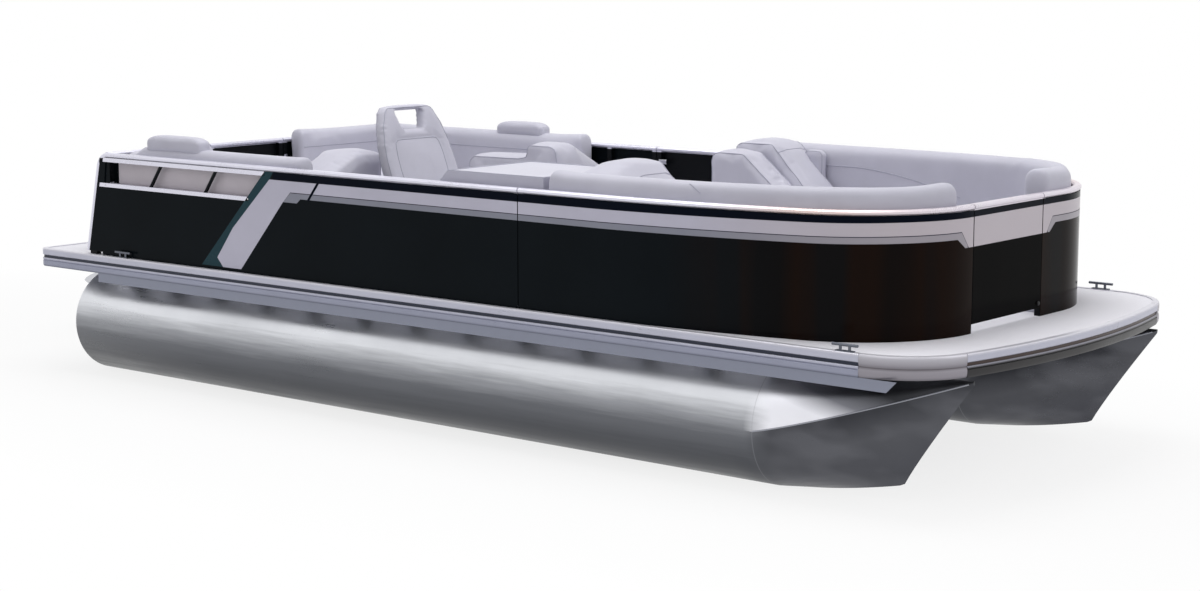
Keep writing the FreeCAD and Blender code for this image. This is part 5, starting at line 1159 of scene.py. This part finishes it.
# Lounge bases: kick strip painted dark as the shade of a recess, and framed doors on the faces towards the
# walkway
for label, side, rear, front in (("bow_starboard", -1, 4.10, 5.31), ("bow_port", 1, 3.85, 5.31),
                                 ("aft_starboard", -1, 1.34, 2.29), ("aft_port", 1, 1.34, 2.76)):
    length = front - rear - 0.04
    block(f"kick_{label}", ((rear + front) / 2, 0.528 * side, 0.790), (length, 0.006, 0.044), 0.002,
          BASE_RECESS_SHADE)
    for index in range(2):
        middle = rear + 0.02 + length * (index + 0.5) / 2
        name = f"door_{label}_{index}"
        block(name, (middle, 0.527 * side, 0.9325), (length / 2 - 0.06, 0.008, 0.195), 0.003, BASE)
        block(f"{name}_latch", (middle, 0.521 * side, 1.005), (0.050, 0.012, 0.018), 0.004, STEEL)

# Fence hardware: sill screws, gate feet and latches
for side, label in SIDES:
    for index, x in enumerate((0.62, 1.90)):
        lathe(f"sill_screw_{label}_{index}", [(0.005, 0), (0.005, 0.0015), (0.002, 0.0025)],
              (x, side * SIDE_FACE, 1.195), (0, side, 0), STEEL, slot="rail_aluminium", sides=12)
for label, place, axis, body in (("bow", (6.1695, 0.205, 0.8325), (1, 0, 0), "bow_gate"),
                                 ("port", (3.590, 1.2545, 0.8325), (0, 1, 0), "side_gate")):
    lathe(f"gate_foot_{label}", [(0.010, -0.004), (0.012, 0.0), (0.011, 0.004), (0.004, 0.006)], place, axis,
          RUBBER, body, sides=16)
for label, place, size, body in (("bow", (6.118, -0.395, 1.300), (0.014, 0.060, 0.030), "bow_gate"),
                                 ("stern", (0.622, -0.345, 1.300), (0.014, 0.060, 0.030), "stern_gate"),
                                 ("port", (3.005, 1.203, 1.300), (0.060, 0.014, 0.030), "side_gate")):
    block(f"latch_{label}", place, size, 0.005, STEEL, body)

# Corner castings: smooth covers over the corners of the deck edge. SWEEP is the radius of the bow edge,
# ROUND that of the corner and ROUND_Y its centre's distance from the middle.

SWEEP, ROUND, ROUND_Y = 4.5, 0.400, 0.895
CASTING_PROFILE = ((0.034, 0.7665), (0.014, 0.7665), (0.006, 0.7650), (0.0015, 0.7600), (0.0, 0.7520),
                   (0.0, 0.7400), (0.0006, 0.7270), (0.0024, 0.7160), (0.0050, 0.7095), (0.0050, 0.7065),
                   (0.0024, 0.7010), (0.0006, 0.6940), (0.0, 0.6860), (0.0004, 0.6740), (0.0020, 0.6640),
                   (0.0050, 0.6575), (0.0080, 0.6555), (0.0080, 0.7630), (0.034, 0.7630))
rear = DECK_LENGTH - SWEEP
centre = rear + math.sqrt((SWEEP - ROUND) ** 2 - ROUND_Y ** 2)
for side, label in SIDES:
    place = mirrored(side)
    rings = [[place(*around((centre, -ROUND_Y), ROUND - inset, angle), z) for inset, z in CASTING_PROFILE]
             for angle in steps(0, math.atan2(centre - rear, ROUND_Y), 24)]
    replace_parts(rounded(skin(f"bow_casting_{label}", rings, CASTING, merge=True)), "bow_corner_castings")


# Tubes: smooth shells over the faceted solids, weld beads along the chines

KEEL_STEM, KEEL_TIP = 0.095, 0.614


def nose_edge(share):
    """Chine of the nose at a share of its length: half width and height, as the hull has them."""
    return blend(RADIUS, 0.007, share), RADIUS + CHINE_RISE * share ** CHINE_BEND


def three_point_arc(a, b, c, count):
    """Points of the arc from a through b to c in (y, z), c left out."""
    d = 2 * (a[0] * (b[1] - c[1]) + b[0] * (c[1] - a[1]) + c[0] * (a[1] - b[1]))
    squares = [p[0] ** 2 + p[1] ** 2 for p in (a, b, c)]
    y = (squares[0] * (b[1] - c[1]) + squares[1] * (c[1] - a[1]) + squares[2] * (a[1] - b[1])) / d
    z = (squares[0] * (c[0] - b[0]) + squares[1] * (a[0] - c[0]) + squares[2] * (b[0] - a[0])) / d
    start, middle, end = (math.atan2(p[1] - z, p[0] - y) for p in (a, b, c))
    while middle < start:
        middle += 2 * math.pi
    while end < middle:
        end += 2 * math.pi
    radius = math.hypot(a[0] - y, a[1] - z)
    return [(y + radius * math.cos(t), z + radius * math.sin(t)) for t in steps(start, end, count)[:-1]]


def nose_ring(share):
    """Section of the nose, as the hull has it: arched top, sharp chines, curved sides to a keel."""
    half, chine = nose_edge(share)
    crown = blend(2 * RADIUS, 0.635, share)
    along = share * NOSE_LONG
    if along < STEM:
        keel = KEEL_STEM * (along / STEM) ** 1.6
    else:
        keel = KEEL_STEM + (KEEL_TIP - KEEL_STEM) * ((along - STEM) / (NOSE_LONG - STEM)) ** 0.92
    full = blend(0.707, 0.56, share)
    bulge = chine - (chine - keel) * full
    left, foot, right = (-half, chine), (0.0, keel), (half, chine)
    return (three_point_arc(right, (0.0, crown), left, 28)
            + three_point_arc(left, (-half * full, bulge), foot, 20)
            + three_point_arc(foot, (half * full, bulge), right, 20))


for side, label in SIDES:
    sections = [(x, 0.0, scale) for x, scale in (
        (0.290, 0.90), (0.290, 0.915), (0.293, 0.945), (0.300, 0.972), (0.3075, 0.990), (0.316, 1.0),
        (1.5, 1.0), (3.0, 1.0), (4.5, 1.0), (5.3, 1.0))]
    sections += [(NOSE_X + NOSE_LONG * share, share, 1.0) for share in steps(0, 1, 40)]
    rings = [[at(x, side * TUBE_Y + y * scale, RADIUS + (z - RADIUS) * scale) for y, z in nose_ring(share)]
             for x, share, scale in sections]
    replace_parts(rounded(skin(f"tube_shell_{label}", rings, TUBE, merge=True)), f"tube_{label}")

for side, label in SIDES:
    for edge in (-1, 1):
        points = []
        for share in steps(0, 0.98, 24):
            half, z = nose_edge(share)
            points.append(at(NOSE_X + NOSE_LONG * share, side * TUBE_Y + edge * (half - 0.0015), z))
        cordage(f"chine_bead_{label}_{'in' if edge * side < 0 else 'out'}", points, 0.0045, FRAME_METAL)


# Ladder treads, motor trim

def motor_place(x, y, z):
    """Point of the upright motor, turned with the tilt it rests at."""
    pin = Vector((-0.165, 0, 0.735))
    return at(*(Matrix.Rotation(math.radians(38), 3, "Y") @ (Vector((x, y, z)) - pin) + pin))


for index, x in enumerate((0.045, 0.180)):
    for name, z, wide, body in (("upper", 0.8055, 0.300, "ladder_top"),
                                ("lower", 0.8395, 0.240, "ladder_end")):
        block(f"tread_{name}_{index}", (x, 0.800, z), (0.042, wide, 0.003), 0.001, TREAD, body)
for side, label in SIDES:
    vertices = [motor_place(x, side * 0.1606, z) for x, z in ((-0.20, 1.00), (-0.52, 0.975), (-0.52, 0.955),
                                                              (-0.20, 0.98))]
    piece(f"cowl_band_{label}", vertices, [(0, 1, 2, 3)[::-side]], MOTOR_GREY, "motor")


# Stage, light, camera

def pale_floor():
    """White floor that keeps the shadow under the boat and turns plain white away from it."""
    made = look("floor_pale")
    stretched = made.add("VectorMath", {0: made.add("TexCoord", out="Object"), 1: (0.42, 1.0, 1.0)},
                         operation="MULTIPLY")
    distance = made.add("VectorMath", {0: stretched}, "Value", operation="LENGTH")
    share = made.calc("MULTIPLY", made.direct(), made.span(distance, 0.80, 1.0, 1.2, 3.2))
    matt = made.add("BsdfDiffuse", {"Color": (0.86, 0.86, 0.87)})
    return made.end(made.add("MixShader", {0: share, 1: matt, 2: made.add("Emission")}))


FLOOR, FLOOR_Z = 60.0, -0.001
corners = [(x, y, FLOOR_Z) for x, y in ((-FLOOR, -FLOOR), (FLOOR, -FLOOR), (FLOOR, FLOOR), (-FLOOR, FLOOR))]
piece("floor", corners, [(0, 1, 2, 3)], pale_floor(), None)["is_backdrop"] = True

world = bpy.data.worlds.new("studio")
bpy.context.scene.world = world
studio = Shader(world, "OutputWorld")
light = studio.add("Background", {"Color": (1, 1, 1), "Strength": 0.50})
seen = studio.add("Background", {"Color": (1, 1, 1)})
studio.end(studio.add("MixShader", {0: studio.direct(), 1: light, 2: seen}))

for name, place, target, width, height, power in (
        ("key", (3.0, -9.0, 9.0), (0, 0, 0.8), 8.0, 5.0, 80),
        ("fill", (9.0, 2.0, 6.0), (1, 0, 0.8), 5.0, 5.0, 100),
        ("top", (0.0, 0.0, 9.0), (0, 0, 0), 9.0, 5.0, 515)):
    lamp = bpy.data.lights.new(name, "AREA")
    lamp.shape = "RECTANGLE"
    lamp.size, lamp.size_y = width, height
    lamp.energy = power
    made = bpy.data.objects.new(name, lamp)
    made.location = place
    made.rotation_euler = (Vector(target) - Vector(place)).to_track_quat("-Z", "Y").to_euler()
    bpy.context.scene.collection.objects.link(made)

camera_data = bpy.data.cameras.new("camera")
camera = bpy.data.objects.new("camera", camera_data)
camera_data.sensor_width = 36.0
camera_data.lens = 67.35
camera_data.shift_y = 1.6 / 1200
camera_data.clip_end = 300
camera.location = at(11.540, -9.883, 2.554)
camera.rotation_euler = (math.radians(90 - 8.57), 0, math.radians(39.20))
bpy.context.scene.collection.objects.link(camera)
bpy.context.scene.camera = camera
bpy.context.scene.view_settings.view_transform = "Standard"

low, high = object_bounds()
{"cad": [list(cad_low), list(cad_high)], "visual": [list(low), list(high)]}
